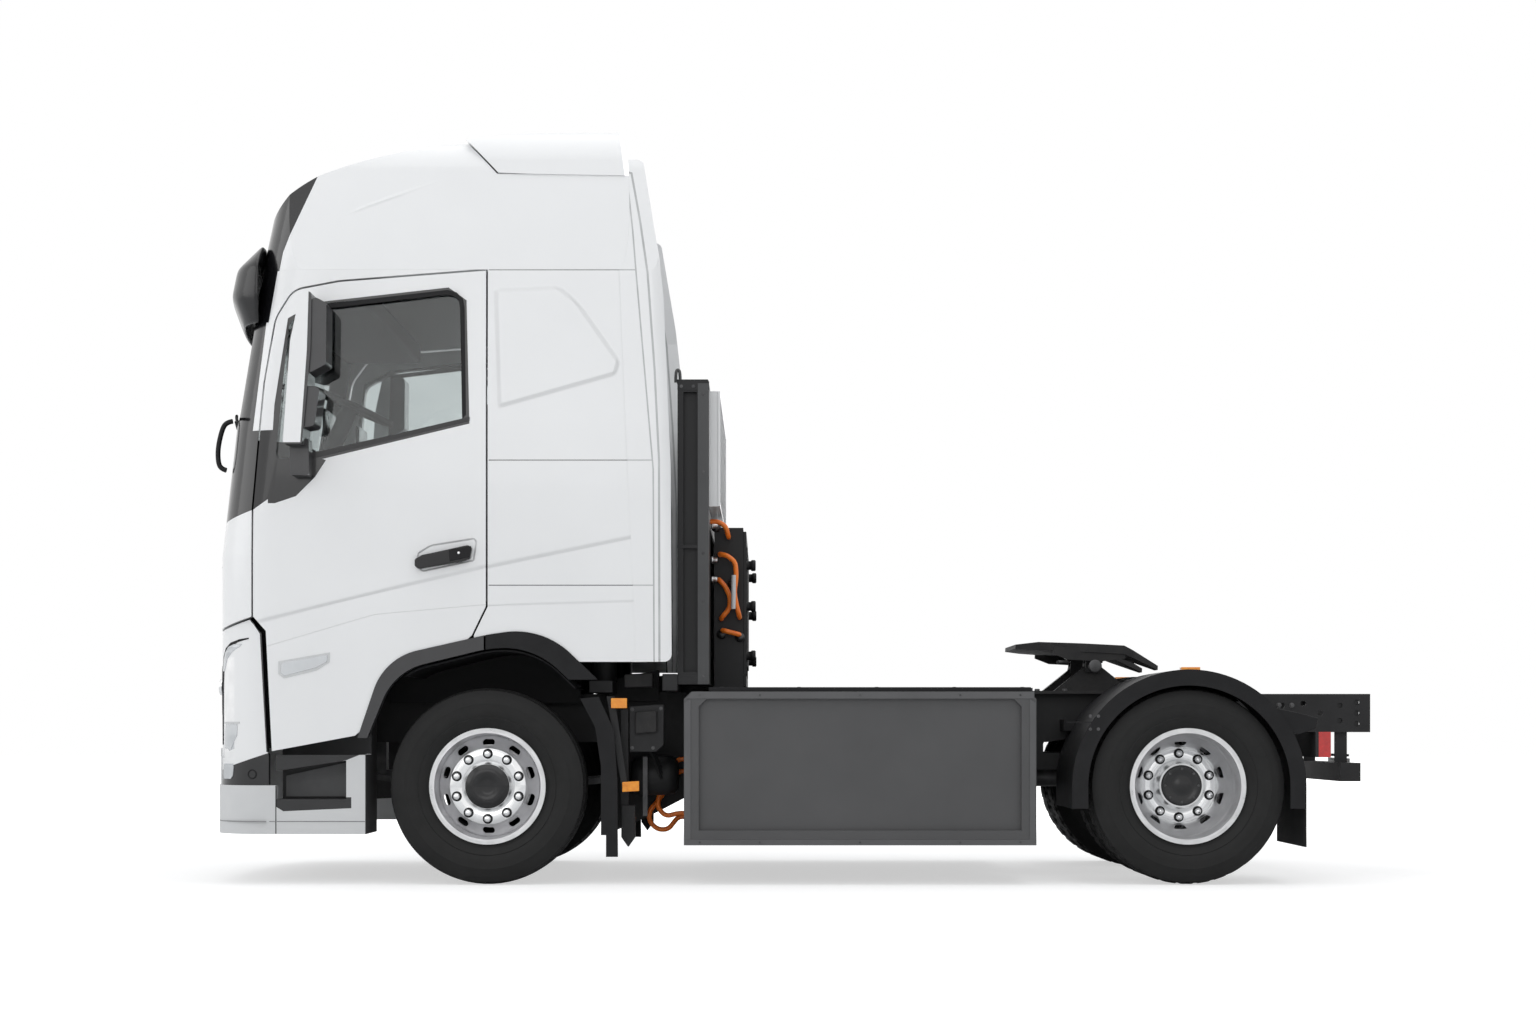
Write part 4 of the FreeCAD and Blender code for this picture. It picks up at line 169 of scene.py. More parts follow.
def woven(name, low, high, scale=260.0):
    """Cloth with crossed threads, from two wave patterns in object space."""
    made, tree, shader = new_material(name)
    place = own_place(tree)
    threads = [add_node(tree, "TexWave", {"Vector": place, "Scale": scale, "Distortion": 0.6},
                        bands_direction=direction).outputs["Fac"] for direction in ("X", "Z")]
    mixed = maths(tree, "MULTIPLY", *threads)
    connect(tree, shader, {"Base Color": ramp(tree, mixed, low, high, 0.1, 0.9),
                           "Roughness": 0.85, "Sheen Weight": 0.2})
    press(tree, shader, mixed, 0.25, THREAD_DEPTH)
    return made


WHITE_TONES = ((0.83, 0.835, 0.84), (0.86, 0.865, 0.87))
DARK_TONES = ((0.008, 0.008, 0.009), (0.014, 0.014, 0.015))
BLACK_TONE = (0.006, 0.006, 0.007)
WHITE = surface("white_paint", *WHITE_TONES, 0.3, 1.5, coat=0.5, bump=0.02, bump_scale=900.0,
                rough_span=0.04)
SILVER = surface("silver_trim", (0.60, 0.61, 0.615), (0.65, 0.655, 0.66), 0.42, 3.0, bump=0.03,
                 bump_scale=700.0)
BLACK = surface("black_plastic", *DARK_TONES, 0.55, 8.0, bump=0.10, bump_scale=420.0,
                specular=0.22)
GLOSS_BLACK = surface("gloss_black", BLACK_TONE, (0.010, 0.010, 0.011), 0.26, 4.0, coat=0.2,
                      specular=0.4)
GREY_STEP = surface("grey_step", (0.10, 0.101, 0.103), (0.12, 0.121, 0.123), 0.6, 9.0, bump=0.25,
                    bump_scale=260.0)
FRAME = surface("frame_paint", (0.010, 0.010, 0.011), (0.020, 0.020, 0.021), 0.55, 7.0, bump=0.12,
                bump_scale=240.0, specular=0.35)
CAST = surface("cast_parts", (0.010, 0.010, 0.011), (0.024, 0.023, 0.023), 0.58, 14.0, metal=0.3,
               bump=0.35, bump_scale=160.0)
STEEL = surface("steel", (0.06, 0.06, 0.062), (0.11, 0.11, 0.112), 0.42, 12.0, metal=0.8,
                bump=0.15, bump_scale=200.0)
RUBBER = surface("tyre_rubber", (0.009, 0.009, 0.009), (0.015, 0.015, 0.015), 0.68, 10.0,
                 bump=0.2, bump_scale=380.0, specular=0.3)
SEAL = surface("rubber_seal", (0.004, 0.004, 0.005), (0.008, 0.008, 0.009), 0.6, 12.0, bump=0.05,
               bump_scale=500.0, specular=0.3)
ALLOY = surface("rim_alloy", (0.60, 0.605, 0.61), (0.74, 0.745, 0.75), 0.3, 16.0, metal=1.0,
                bump=0.06, bump_scale=500.0)
CHROME = surface("chrome", (0.80, 0.81, 0.82), (0.90, 0.905, 0.91), 0.14, 10.0, metal=1.0)
BOX = surface("box_paint", (0.066, 0.066, 0.068), (0.078, 0.078, 0.080), 0.5, 3.0, bump=0.10,
              bump_scale=520.0)
BOX_EDGE = surface("box_edge", (0.085, 0.085, 0.088), (0.10, 0.10, 0.103), 0.45, 4.0, bump=0.08,
                   bump_scale=500.0)
TOWER = surface("tower_paint", *DARK_TONES, 0.5, 4.0, bump=0.08, bump_scale=400.0, specular=0.35)
POST = surface("tower_post", (0.045, 0.046, 0.048), (0.06, 0.061, 0.063), 0.5, 4.0, bump=0.08,
               bump_scale=400.0)
DECK = surface("deck_metal", (0.030, 0.030, 0.032), (0.05, 0.05, 0.052), 0.45, 9.0, metal=0.4,
               bump=0.3, bump_scale=120.0)
ORANGE = surface("cable_orange", (0.95, 0.19, 0.018), (1.0, 0.25, 0.026), 0.38, 20.0, bump=0.15,
                 bump_scale=500.0)
AMBER = surface("amber_lens", (0.80, 0.24, 0.01), (0.95, 0.36, 0.02), 0.2, 40.0, coat=0.6)
RED = surface("red_lens", (0.42, 0.008, 0.008), (0.60, 0.015, 0.012), 0.18, 30.0, coat=0.7)
LENS = surface("lamp_lens", (0.56, 0.58, 0.60), (0.66, 0.68, 0.70), 0.16, coat=0.8, metal=0.4)
INSIDE = surface("interior", (0.035, 0.035, 0.038), (0.055, 0.055, 0.058), 0.65, 12.0, bump=0.03)
LINING = surface("cab_lining", (0.26, 0.26, 0.255), (0.32, 0.32, 0.315), 0.8, bump=0.15)
AIR_BAG = surface("air_bag", (0.012, 0.012, 0.013), (0.022, 0.022, 0.024), 0.7, 20.0, bump=0.2,
                  bump_scale=200.0)
PLATE = surface("blank_plate", (0.62, 0.62, 0.60), (0.70, 0.70, 0.68), 0.35, 20.0, bump=0.05)
# Painted shade: a grey for the thin lines along the crease of the bumper and the step, where the
# crease's shade falls
CREASE_SHADE = surface("step_shadow", (0.20, 0.20, 0.205), (0.25, 0.25, 0.255), 0.5, 9.0)
GLASS = clear_surface("cab_glass", (0.62, 0.66, 0.66), (0.68, 0.72, 0.72))
CLOTH = woven("seat_cloth", (0.018, 0.018, 0.02), (0.06, 0.06, 0.065))
BEDDING = woven("mattress_cloth", (0.16, 0.165, 0.17), (0.26, 0.265, 0.27), 180.0)


# Painted areas of the carried-over nodes

class Area:
    """Masks in a material's object space, 1 inside an area and 0 outside it."""

    def __init__(self, tree):
        self.tree = tree
        self.place = own_place(tree)
        split = add_node(tree, "SeparateXYZ", {"Vector": self.place})
        self.x = split.outputs["X"]
        self.width = maths(tree, "ABSOLUTE", split.outputs["Y"])
        self.z = split.outputs["Z"]

    def above(self, source, limit):
        return maths(self.tree, "GREATER_THAN", source, limit)

    def below(self, source, limit):
        return maths(self.tree, "LESS_THAN", source, limit)

    def all(self, *masks):
        return functools.reduce(functools.partial(maths, self.tree, "MULTIPLY"), masks)

    def any(self, *masks):
        return functools.reduce(functools.partial(maths, self.tree, "MAXIMUM"), masks)

    def outside(self, mask):
        return maths(self.tree, "SUBTRACT", 1.0, mask)

    def inside(self, outline, soft=0.0, grow=0.0):
        """1 inside a convex outline in x and z, grown by a distance; soft is its edge's width."""
        edges = list(zip(outline, outline[1:] + outline[:1]))
        turn = math.copysign(1.0, sum(x * next_z - next_x * z
                                      for (x, z), (next_x, next_z) in edges))
        parts = []
        for (x, z), (next_x, next_z) in edges:
            length = math.hypot(next_x - x, next_z - z)
            along_x = (z - next_z) / length * turn
            along_z = (next_x - x) / length * turn
            reach = vector_maths(self.tree, "DOT_PRODUCT", "Value", self.place,
                                 (along_x, 0.0, along_z))
            limit = along_x * x + along_z * z - grow
            if soft:
                edge = add_node(self.tree, "MapRange", {"Value": reach, "From Min": limit,
                                                        "From Max": limit + soft},
                                interpolation_type="SMOOTHSTEP")
                parts.append(edge.outputs["Result"])
            else:
                parts.append(self.above(reach, limit))
        return self.all(*parts)

    def inside_any(self, *outlines):
        return self.any(*[self.inside(outline) for outline in outlines])

    def line_along(self, outline, width):
        """A thin line just outside an outline."""
        return self.all(self.inside(outline, grow=width), self.outside(self.inside(outline)))

    def level_seams(self, half, *limits):
        """The side's level seams, each a line of twice the half height, within the limits."""
        return self.any(*[self.all(self.above(self.z, level - half),
                                   self.below(self.z, level + half), *limits)
                          for level in SIDE_SEAMS])


def two_tone(name, base, other, mask_maker, gloss_other=0.3):
    """A copy of a surface with a second colour where the mask is 1."""
    made = base.copy()
    made.name = name
    tree = made.node_tree
    shader = shader_of(tree)
    mask = mask_maker(Area(tree))
    lighter = tuple(min(1.0, part * SECOND_TONE_RISE) for part in other)
    second = ramp(tree, noise(tree, 9.0), other, lighter)
    first, gloss = [shader.inputs[word].links[0].from_socket
                    for word in ("Base Color", "Roughness")]
    colour = add_node(tree, "Mix", {"Factor": mask, "A": first, "B": second}, data_type="RGBA")
    rough = add_node(tree, "Mix", {"Factor": mask, "A": gloss, "B": gloss_other})
    connect(tree, shader, {"Base Color": colour.outputs["Result"],
                           "Roughness": rough.outputs["Result"]})
    return made


# Outlines in the photograph, each convex
CORNER_BAND = photo_outline([(150, 431), (277, 431), (277, 503), (255, 510), (225, 530),
                             (150, 556)])
CORNER_TIP = photo_outline([(270, 445), (328, 461), (317, 478), (298, 497), (277, 504),
                            (270, 504)])
BROW_TOP = photo_outline([(150, 100), (346, 101), (283, 252), (150, 252)])
BROW_FOOT = photo_outline([(150, 252), (283, 252), (268, 331), (150, 331)])
PILLAR_TOP = photo_outline([(150, 262), (279, 262), (268.6, 322), (150, 322)])
PILLAR_STRIP = photo_outline([(150, 321), (266, 321), (253, 434), (150, 434)])
WINDOW_FRAME = photo_outline([(320, 306), (449, 291.5), (465, 303), (468, 422.6), (296, 464),
                              (276, 459), (279, 406), (292, 321)])
LAMP_CORNER = photo_outline([(150, 791), (275, 751), (275, 791)])
LAMP_GAP = photo_outline([(260.5, 633.7), (280, 633.7), (280, 752), (267.2, 752)])
LAMP_GAP_TOP = photo_outline([(250, 618.5), (256, 608), (280, 608), (280, 634), (260.7, 634)])
LAMP_WRAP = photo_outline([(222, 725), (239, 721), (240, 746), (226, 751), (222, 745)])
FAIRING_EDGE = photo_outline([(560, 150), (625, 150), (632, 230), (640, 300), (648, 385),
                              (653, 461), (654, 680), (560, 680)])
FAIRING_FOLD = photo_outline([(560, 150), (630, 171), (639, 220), (647, 274), (654, 370),
                              (658.5, 461), (659, 680), (560, 680)])
BLANK_WINDOW = photo_outline([(494, 289), (560, 286), (579, 301), (622, 362), (618, 377),
                              (498, 411)])
DOOR_CREASE = photo_outline([(200, 634), (340, 597), (420, 578), (520, 555), (520, 900),
                             (200, 900)])
SIDE_CREASE = photo_outline([(460, 568.5), (570, 546), (700, 519), (700, 900), (460, 900)])
DOOR_LINE = photo_outline([(200, 666), (376, 614), (489, 604), (520, 603), (520, 900),
                           (200, 900)])
SIDE_LINE = photo_outline([(460, 606), (489, 604), (700, 598), (700, 900), (460, 900)])
HANDLE_RECESS = photo_outline([(417, 566), (419, 553), (432, 545), (476, 538), (479, 542),
                               (476, 562), (424, 573)])
ROOF_FOLD = photo_outline([(330, 222), (350, 208), (400, 188), (467, 168), (467, 172),
                           (400, 196), (350, 218)])
STEP_BAR = photo_outline([(268, 740), (368, 726), (367, 752), (347, 760), (278, 775), (268, 776)])
STEP_SILL = photo_outline([(276, 797), (352, 797), (352, 808), (284, 811), (276, 806)])

# Limits of the painted areas
SIDE_SEAMS = (2.174, 1.535, 3.1485)
SIDE_SPAN = (FRONT_AXLE + 0.015, FRONT_AXLE + 0.86)
SIDE_SEAM_HALF = 0.0022
FAIRING_SEAM_HALF = 0.003
FAIRING_LINES = ((FAIRING_EDGE, 0.008), (FAIRING_FOLD, 0.011))
CAB_REAR_EDGE = -0.779
WINDOW_FRAME_GROWTH = 0.014
SCREEN_HALF, SCREEN_FOOT, SCREEN_HEAD = 1.125, 2.30, 3.16
GRILLE_HALF, GRILLE_HEAD, GRILLE_BACK = 0.80, 1.02, -2.9
LAMP_WRAP_FRONT = FRONT_AXLE - 1.376
WELL_INNER, WELL_OUTER = 0.205, 0.283
STEP_HEAD, STEP_REAR = 0.672, -2.2235
RECESS_HALF, RECESS_BACK, RECESS_FOOT = 1.206, -2.322, 0.39
MIRROR_INNER = 1.26
CAB_TOP = 3.865
MIRROR_SHARES = ((-0.668, 0.580), (-0.642, 0.712), (-0.608, 0.777), (-0.578, 0.777),
                 (-0.584, 0.70), (-0.606, 0.580))
MIRROR_SHELL = [(FRONT_AXLE + share * PANEL_REACH, height * CAB_TOP)
                for share, height in MIRROR_SHARES]


def front_mask(area):
    """The black corners, the surround of the windscreen and the lower grille."""
    surround = area.all(area.below(area.width, SCREEN_HALF), area.above(area.z, SCREEN_FOOT),
                        area.below(area.z, SCREEN_HEAD))
    grille = area.all(area.below(area.width, GRILLE_HALF), area.below(area.z, GRILLE_HEAD),
                      area.below(area.x, GRILLE_BACK))
    return area.any(area.inside_any(CORNER_BAND, PILLAR_TOP, PILLAR_STRIP), surround, grille)


def door_mask(area):
    """The black corner below the mirror and the frame round the window."""
    return area.any(area.inside_any(CORNER_BAND, CORNER_TIP),
                    area.inside(WINDOW_FRAME, grow=WINDOW_FRAME_GROWTH))


def roof_mask(area):
    return area.inside_any(BROW_TOP, BROW_FOOT)


def lamp_panel_mask(area):
    return area.inside_any(LAMP_CORNER, LAMP_GAP, LAMP_GAP_TOP)


def fairing_mask(area):
    """The two shadow lines between the cab's rear edge and the side fairing, and the seams."""
    lines = [area.line_along(outline, width) for outline, width in FAIRING_LINES]
    return area.any(area.level_seams(FAIRING_SEAM_HALF, area.inside(FAIRING_EDGE)), *lines)


def side_mask(area):
    """The side's level seams and its rear edge."""
    low, high = SIDE_SPAN
    seams = area.level_seams(SIDE_SEAM_HALF, area.above(area.x, low), area.below(area.x, high))
    return area.any(area.above(area.x, CAB_REAR_EDGE), seams)


def headlamp_mask(area):
    """White between the lamps where the lens wraps round the corner."""
    return area.all(area.above(area.x, LAMP_WRAP_FRONT), area.outside(area.inside(LAMP_WRAP)))


def wheel_mask(area):
    """The duller well between a wheel's disc and its flange."""
    wells = []
    for centre in (FRONT_AXLE, REAR_AXLE):
        offset = vector_maths(area.tree, "SUBTRACT", "Vector", area.place, (centre, 0.0, WHEEL_Z))
        flat = vector_maths(area.tree, "MULTIPLY", "Vector", offset, (1.0, 0.0, 1.0))
        reach = vector_maths(area.tree, "LENGTH", "Value", flat)
        wells.append(area.all(area.above(reach, WELL_INNER), area.below(reach, WELL_OUTER)))
    return area.any(*wells)


def step_mask(area):
    """The piece is black above its housing, in its recess, behind and along its slanted bar."""
    recess = area.all(area.below(area.width, RECESS_HALF), area.below(area.x, RECESS_BACK),
                      area.above(area.z, RECESS_FOOT))
    return area.any(area.above(area.z, STEP_HEAD), recess, area.inside_any(STEP_BAR, STEP_SILL),
                    area.above(area.x, STEP_REAR))


def mirror_mask(area):
    """Behind its white shell the mirror is black."""
    shell = area.all(area.inside(MIRROR_SHELL), area.above(area.width, MIRROR_INNER))
    return area.outside(shell)


FRONT_PAINT = two_tone("front_paint", WHITE, BLACK_TONE, front_mask, 0.22)
DOOR_PAINT = two_tone("door_paint", WHITE, BLACK_TONE, door_mask, 0.22)
ROOF_PAINT = two_tone("roof_paint", WHITE, BLACK_TONE, roof_mask, 0.22)
SIDE_PAINT = two_tone("side_paint", WHITE, (0.03, 0.03, 0.032), side_mask, 0.6)
FAIRING_PAINT = two_tone("fairing_paint", WHITE, (0.42, 0.425, 0.43), fairing_mask, 0.5)
LAMP_PAINT = two_tone("lamp_paint", WHITE, BLACK_TONE, lamp_panel_mask)
HEADLAMP = two_tone("headlamp_lens", LENS, (0.83, 0.835, 0.84), headlamp_mask)
WHEEL_PAINT = two_tone("wheel_paint", ALLOY, (0.62, 0.62, 0.63), wheel_mask, 0.5)
STEP_PAINT = two_tone("step_paint", SILVER, (0.022, 0.022, 0.023), step_mask, 0.6)
MIRROR_PAINT = two_tone("mirror_paint", WHITE, (0.018, 0.018, 0.02), mirror_mask, 0.45)

# Pressed and raised areas: the paint, the outline, its edge's width and its height
RELIEFS = (
    (DOOR_PAINT, DOOR_CREASE, 0.035, -0.012),
    (DOOR_PAINT, DOOR_LINE, 0.008, -0.003),
    (DOOR_PAINT, HANDLE_RECESS, 0.012, -0.010),
    (ROOF_PAINT, ROOF_FOLD, 0.03, 0.012),
    (SIDE_PAINT, BLANK_WINDOW, 0.03, 0.014),
    (SIDE_PAINT, SIDE_CREASE, 0.035, -0.012),
    (SIDE_PAINT, SIDE_LINE, 0.016, -0.005),
)
for paint, outline, soft, height in RELIEFS:
    tree = paint.node_tree
    press(tree, shader_of(tree), Area(tree).inside(outline, soft), 1.0, height)

NODE_LOOKS = (
    (WHITE, "cab_back_wall roof_deflector cooler"),
    (LAMP_PAINT, "headlamp_panels"),
    (ROOF_PAINT, "cab_roof"),
    (SIDE_PAINT, "cab_sides"),
    (FRONT_PAINT, "cab_front"),
    (DOOR_PAINT, "door_left door_right"),
    (SILVER, "front_bumper"),
    (STEP_PAINT, "step_units"),
    (MIRROR_PAINT, "door_fittings_left door_fittings_right"),
    (BLACK, "arch_trims rear_fenders front_mudguards wheel_liners"),
    (FAIRING_PAINT, "side_fairings"),
    (GLOSS_BLACK, "sun_visor"),
    (FRAME, "frame_rails crossmembers cab_mounts rear_arms rear_underrun front_carriers cab_floor"),
    (CAST, "front_axle_beam rear_axle drive_motor fifth_wheel_base fifth_wheel_plate"),
    (CAST, "knuckle_left knuckle_right tilt_arms"),
    (STEEL, "front_springs propeller_shaft tie_rod"),
    (AIR_BAG, "air_springs"),
    (BOX, "battery_boxes"),
    (TOWER, "equipment_tower power_unit"),
    (DECK, "deck_plate"),
    (RUBBER, "tyre_front_left tyre_front_right tyres_rear_left tyres_rear_right"),
    (WHEEL_PAINT, "wheel_front_left wheel_front_right wheels_rear_left wheels_rear_right"),
    (GLASS, "windscreen door_glass_left door_glass_right"),
    (HEADLAMP, "headlamps"),
    (RED, "tail_lamps"),
    (INSIDE, "dashboard steering_wheel"),
    (CLOTH, "seats_and_bunk"),
    (ORANGE, "hv_cables"),
)


def dress(item, look):
    if not item.data.materials:
        item.data.materials.append(look)
    for slot in item.material_slots:
        slot.material = look


for look, names in NODE_LOOKS:
    for name in names.split():
        dress(NODES[name], look)


# Builders for the scene's own pieces

BOX_FACES = ((0, 1, 3, 2), (4, 6, 7, 5), (0, 4, 5, 1), (2, 3, 7, 6), (0, 2, 6, 4), (1, 5, 7, 3))
LEAST_RADIUS = 0.00005


def add_bevel(item, width, segments=2):
    bevel = item.modifiers.new("bevel", "BEVEL")
    bevel.width = width
    bevel.segments = segments
    bevel.limit_method = "ANGLE"
    return bevel


def soften(item, width, segments, angle):
    """Rounds the edges that show on a moulded CAD node."""
    bevel = add_bevel(item, width, segments)
    bevel.angle_limit = math.radians(angle)
    bevel.harden_normals = True
    item.data.shade_smooth()


def add_object(name, data):
    item = bpy.data.objects.new(name, data)
    bpy.context.scene.collection.objects.link(item)
    return item


def keep(item, look, body):
    """Gives a new piece its look and lets it ride on a body."""
    item.data.materials.clear()
    item.data.materials.append(look)
    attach(item, body)
    return item


def mesh_piece(name, points, faces, look, body, smooth=False):
    data = bpy.data.meshes.new(name)
    data.from_pydata([tuple(point) for point in points], [], faces)
    data.validate()
    data.update()
    if smooth:
        data.shade_smooth()
    return keep(add_object(name, data), look, body)


def boxes(name, spans, look, body="chassis", bevel=0.0):
    """One piece of several boxes, each given by its low and high corner."""
    points = []
    faces = []
    for low, high in spans:
        faces += [[len(points) + corner for corner in quad] for quad in BOX_FACES]
        points += itertools.product(*zip(low, high))
    item = mesh_piece(name, points, faces, look, body)
    if bevel:
        add_bevel(item, bevel)
    return item


def bars(low, high, axis, first, step, thickness, count):
    """Corners of boxes that repeat along an axis; low and high hold zero there."""
    spans = []
    for index in range(count):
        place = first + index * step
        corners = [list(low), list(high)]
        corners[0][axis] = place
        corners[1][axis] = place + thickness
        spans.append(corners)
    return spans


def border(faces, outer, inner, heights):
    """Corners of four bars in y and z between two places in x."""
    front, back = faces
    low, low_inner, high_inner, high = heights
    return [((front, -outer, low), (back, outer, low_inner)),
            ((front, -outer, high_inner), (back, outer, high)),
            ((front, -outer, low_inner), (back, -inner, high_inner)),
            ((front, inner, low_inner), (back, outer, high_inner))]


def mirrored(low, high):
    """Corners of a box and of its twin on the other side."""
    return [(low, high), ((low[0], -high[1], low[2]), (high[0], -low[1], high[2]))]


def side_boxes(name, side, spans, look, bevel=0.0):
    """Boxes on one side of the chassis, each given by its reach in x, width and height."""
    corners = []
    for across, widths, heights in spans:
        near, far = sorted(side * width for width in widths)
        corners.append(((across[0], near, heights[0]), (across[1], far, heights[1])))
    return boxes(name, corners, look, bevel=bevel)


def lathe(name, profile, spots, axis, look, body="chassis", steps=48):
    """Turns a profile of (along, radius) about an axis, once through each of its spots."""
    axis = Vector(axis).normalized()
    guide = Vector((0, 0, 1)) if abs(axis.z) < 0.9 else Vector((1, 0, 0))
    first = axis.cross(guide).normalized()
    second = axis.cross(first).normalized()
    count = len(profile)
    points = []
    faces = []
    for spot in spots:
        start = len(points)
        for index in range(steps):
            angle = 2 * math.pi * index / steps
            spoke = first * math.cos(angle) + second * math.sin(angle)
            points += [Vector(spot) + axis * along + spoke * max(radius, LEAST_RADIUS)
                       for along, radius in profile]
            here = start + index * count
            there = start + (index + 1) % steps * count
            faces += [[here + corner, here + corner + 1, there + corner + 1, there + corner]
                      for corner in range(count - 1)]
    return mesh_piece(name, points, faces, look, body, True)


def bolts(name, spots, axis, radius, height, washer=0.0, body="chassis"):
    """Six-sided bolt heads, or round ones with a washer under each where washer is given."""
    foot = [(0.0, 0.0), (0.0, radius)]
    if washer:
        foot = [(0.0, 0.0), (0.0, washer), (height * 0.25, washer), (height * 0.25, radius)]
    profile = foot + [(height * 0.85, radius), (height, radius * 0.8), (height, 0.0)]
    item = lathe(name, profile, spots, axis, STEEL, body, steps=12 if washer else 6)
    item.data.shade_flat()


def extrude_y(name, outlines, low, high, look, body="chassis", bevel=0.0):
    """Outlines in x and z, given a thickness across the vehicle."""
    points = []
    faces = []
    for outline in outlines:
        start = len(points)
        count = len(outline)
        points += [(x, y, z) for y in (low, high) for x, z in outline]
        faces.append([start + index for index in range(count)][::-1])
        faces.append([start + count + index for index in range(count)])
        for index in range(count):
            after = (index + 1) % count
            faces.append([start + index, start + after, start + count + after,
                          start + count + index])
    item = mesh_piece(name, points, faces, look, body)
    if bevel:
        add_bevel(item, bevel)
    return item


def slab(name, side, outlines, widths, look, body="chassis", bevel=0.0):
    """Outlines from the photograph, with a thickness between two widths on one side."""
    low, high = sorted(side * width for width in widths)
    return extrude_y(name, [photo_outline(points) for points in outlines], low, high, look, body,
                     bevel)


def add_slabs(rows, side, word, body="chassis"):
    for name, outlines, widths, look, bevel in rows:
        slab(name + "_" + word, side, outlines, widths, look, body, bevel)


def pipe(name, runs, radius, look, body="chassis", resolution=6):
    """Smooth round bars, each along its own points."""
    data = bpy.data.curves.new(name, "CURVE")
    data.dimensions = "3D"
    data.bevel_depth = radius
    data.bevel_resolution = resolution
    data.use_fill_caps = True
    for run in runs:
        spline = data.splines.new("NURBS")
        spline.points.add(len(run) - 1)
        for spot, place in zip(spline.points, run):
            spot.co = (*place, 1.0)
        spline.order_u = 3
        spline.use_endpoint_u = True
    return keep(add_object(name, data), look, body)


def add_boxes(rows, body="chassis"):
    for name, spans, look, bevel in rows:
        boxes(name, spans, look, body, bevel)


def thin_panel(name, rows, layers, place, look, body, columns, flip=False):
    """A closed panel on a curved face, from rows of (height, first, last) at two layers."""
    points = [place(first + (last - first) * index / columns, z, layer)
              for layer in layers for z, first, last in rows for index in range(columns + 1)]
    wide = columns + 1
    tall = len(rows)
    size = wide * tall
    faces = []
    for row, index in itertools.product(range(tall - 1), range(columns)):
        first = row * wide + index
        quad = [first, first + 1, first + wide + 1, first + wide]
        if flip:
            quad = [first, first + wide, first + wide + 1, first + 1]
        faces += [quad, [corner + size for corner in reversed(quad)]]
    rim = [row * wide for row in range(tall)] + [size - wide + index for index in range(1, wide)]
    rim += [row * wide + columns for row in range(tall - 2, -1, -1)]
    rim += list(range(columns - 1, 0, -1))
    for corner, after in zip(rim, rim[1:] + rim[:1]):
        faces.append([corner, after, after + size, corner + size])
    return mesh_piece(name, points, faces, look, body)


def circle_spots(centre, radius, count, turn=0.0):
    """Places spread on a circle about an axis across the vehicle."""
    x, y, z = centre
    angles = [2 * math.pi * (index + turn) / count for index in range(count)]
    return [(x + radius * math.cos(angle), y, z + radius * math.sin(angle)) for angle in angles]


for side, word in SIDES:
    soften(NODES["door_fittings_" + word], width=0.010, segments=3, angle=30.0)


# Wheels and tyres

FRONT_MIDDLE = REAR_OUTER = 1.0425
REAR_INNER = 0.6925
REAR_MIDDLE = 0.8675
FRONT_FACE = 0.108
REAR_FACE = 0.016
STUD_CIRCLE = 0.1675
STUD_COUNT = 10
TYRE_STEPS = 216
TREAD_STEPS = 44
TREAD_HALF = 0.1335
SHOULDER_START = 0.0675
SHOULDER_DROP = 0.0135
SHOULDER_POWER = 1.6
TREAD_INSET = 0.0006
GROOVES = (-0.098, -0.05, 0.0, 0.05, 0.098)
GROOVE_HALF = 0.0048
GROOVE_WAVE = 0.003
GROOVE_DEPTH, LUG_DEPTH, DRIVE_DEPTH, SIPE_DEPTH = 0.011, 0.009, 0.008, 0.004
LUG_START, RIB_START = 0.105, 0.006
SIPE_MIDDLE, SIPE_HALF = 0.074, 0.010
# A tyre's side wall from its bead to its shoulder, as (radius, half width)
TYRE_WALL = ((0.2865, 0.1195), (0.300, 0.1195), (0.3115, 0.1215), (0.325, 0.132), (0.345, 0.1435),
             (0.352, 0.1475), (0.356, 0.1455), (0.372, 0.1535), (0.395, 0.1572), (0.418, 0.1565),
             (0.424, 0.1580), (0.430, 0.1555), (0.450, 0.1515), (0.470, 0.1450), (0.484, 0.1385),
             (0.4925, 0.1345))
# Turned profiles on the wheels, as (along, radius)
WASHER = [(0.0, 0.0), (0.0, 0.0262), (0.0045, 0.0262), (0.0060, 0.0240), (0.0060, 0.0)]
NUT = [(0.004, 0.0), (0.004, 0.0175), (0.026, 0.0165), (0.033, 0.0120), (0.036, 0.0)]
DISC_RING = [(0.0, 0.128), (0.0030, 0.130), (0.0030, 0.193), (0.0, 0.195)]
FRONT_CAP = [(0.0, 0.118), (0.020, 0.118), (0.026, 0.114), (0.030, 0.100), (0.036, 0.096),
             (0.0415, 0.082), (0.0415, 0.052), (0.036, 0.047), (0.0335, 0.030), (0.0335, 0.0)]
REAR_CAP = [(0.0, 0.122), (0.050, 0.120), (0.058, 0.112), (0.1035, 0.104), (0.1045, 0.096),
            (0.1045, 0.078), (0.1010, 0.074), (0.1010, 0.034), (0.1035, 0.031), (0.1035, 0.0)]
HUB_BOLT_CIRCLE, HUB_BOLT_LEVEL, HUB_BOLT_COUNT = 0.087, 0.1045, 8


def tread_depth(index, y, drive):
    """How deep the tread is cut at one place round the tyre and across it."""
    wave = GROOVE_WAVE * math.sin(index * math.pi / 3)
    if any(abs(y - groove - wave) < GROOVE_HALF for groove in GROOVES):
        return GROOVE_DEPTH
    if abs(y) > LUG_START and index % 6 == 0:
        return LUG_DEPTH
    if drive and RIB_START < abs(y) < LUG_START and index % 6 == 3:
        return DRIVE_DEPTH
    if index % 3 == 0 and abs(abs(y) - SIPE_MIDDLE) < SIPE_HALF:
        return SIPE_DEPTH
    return 0.0


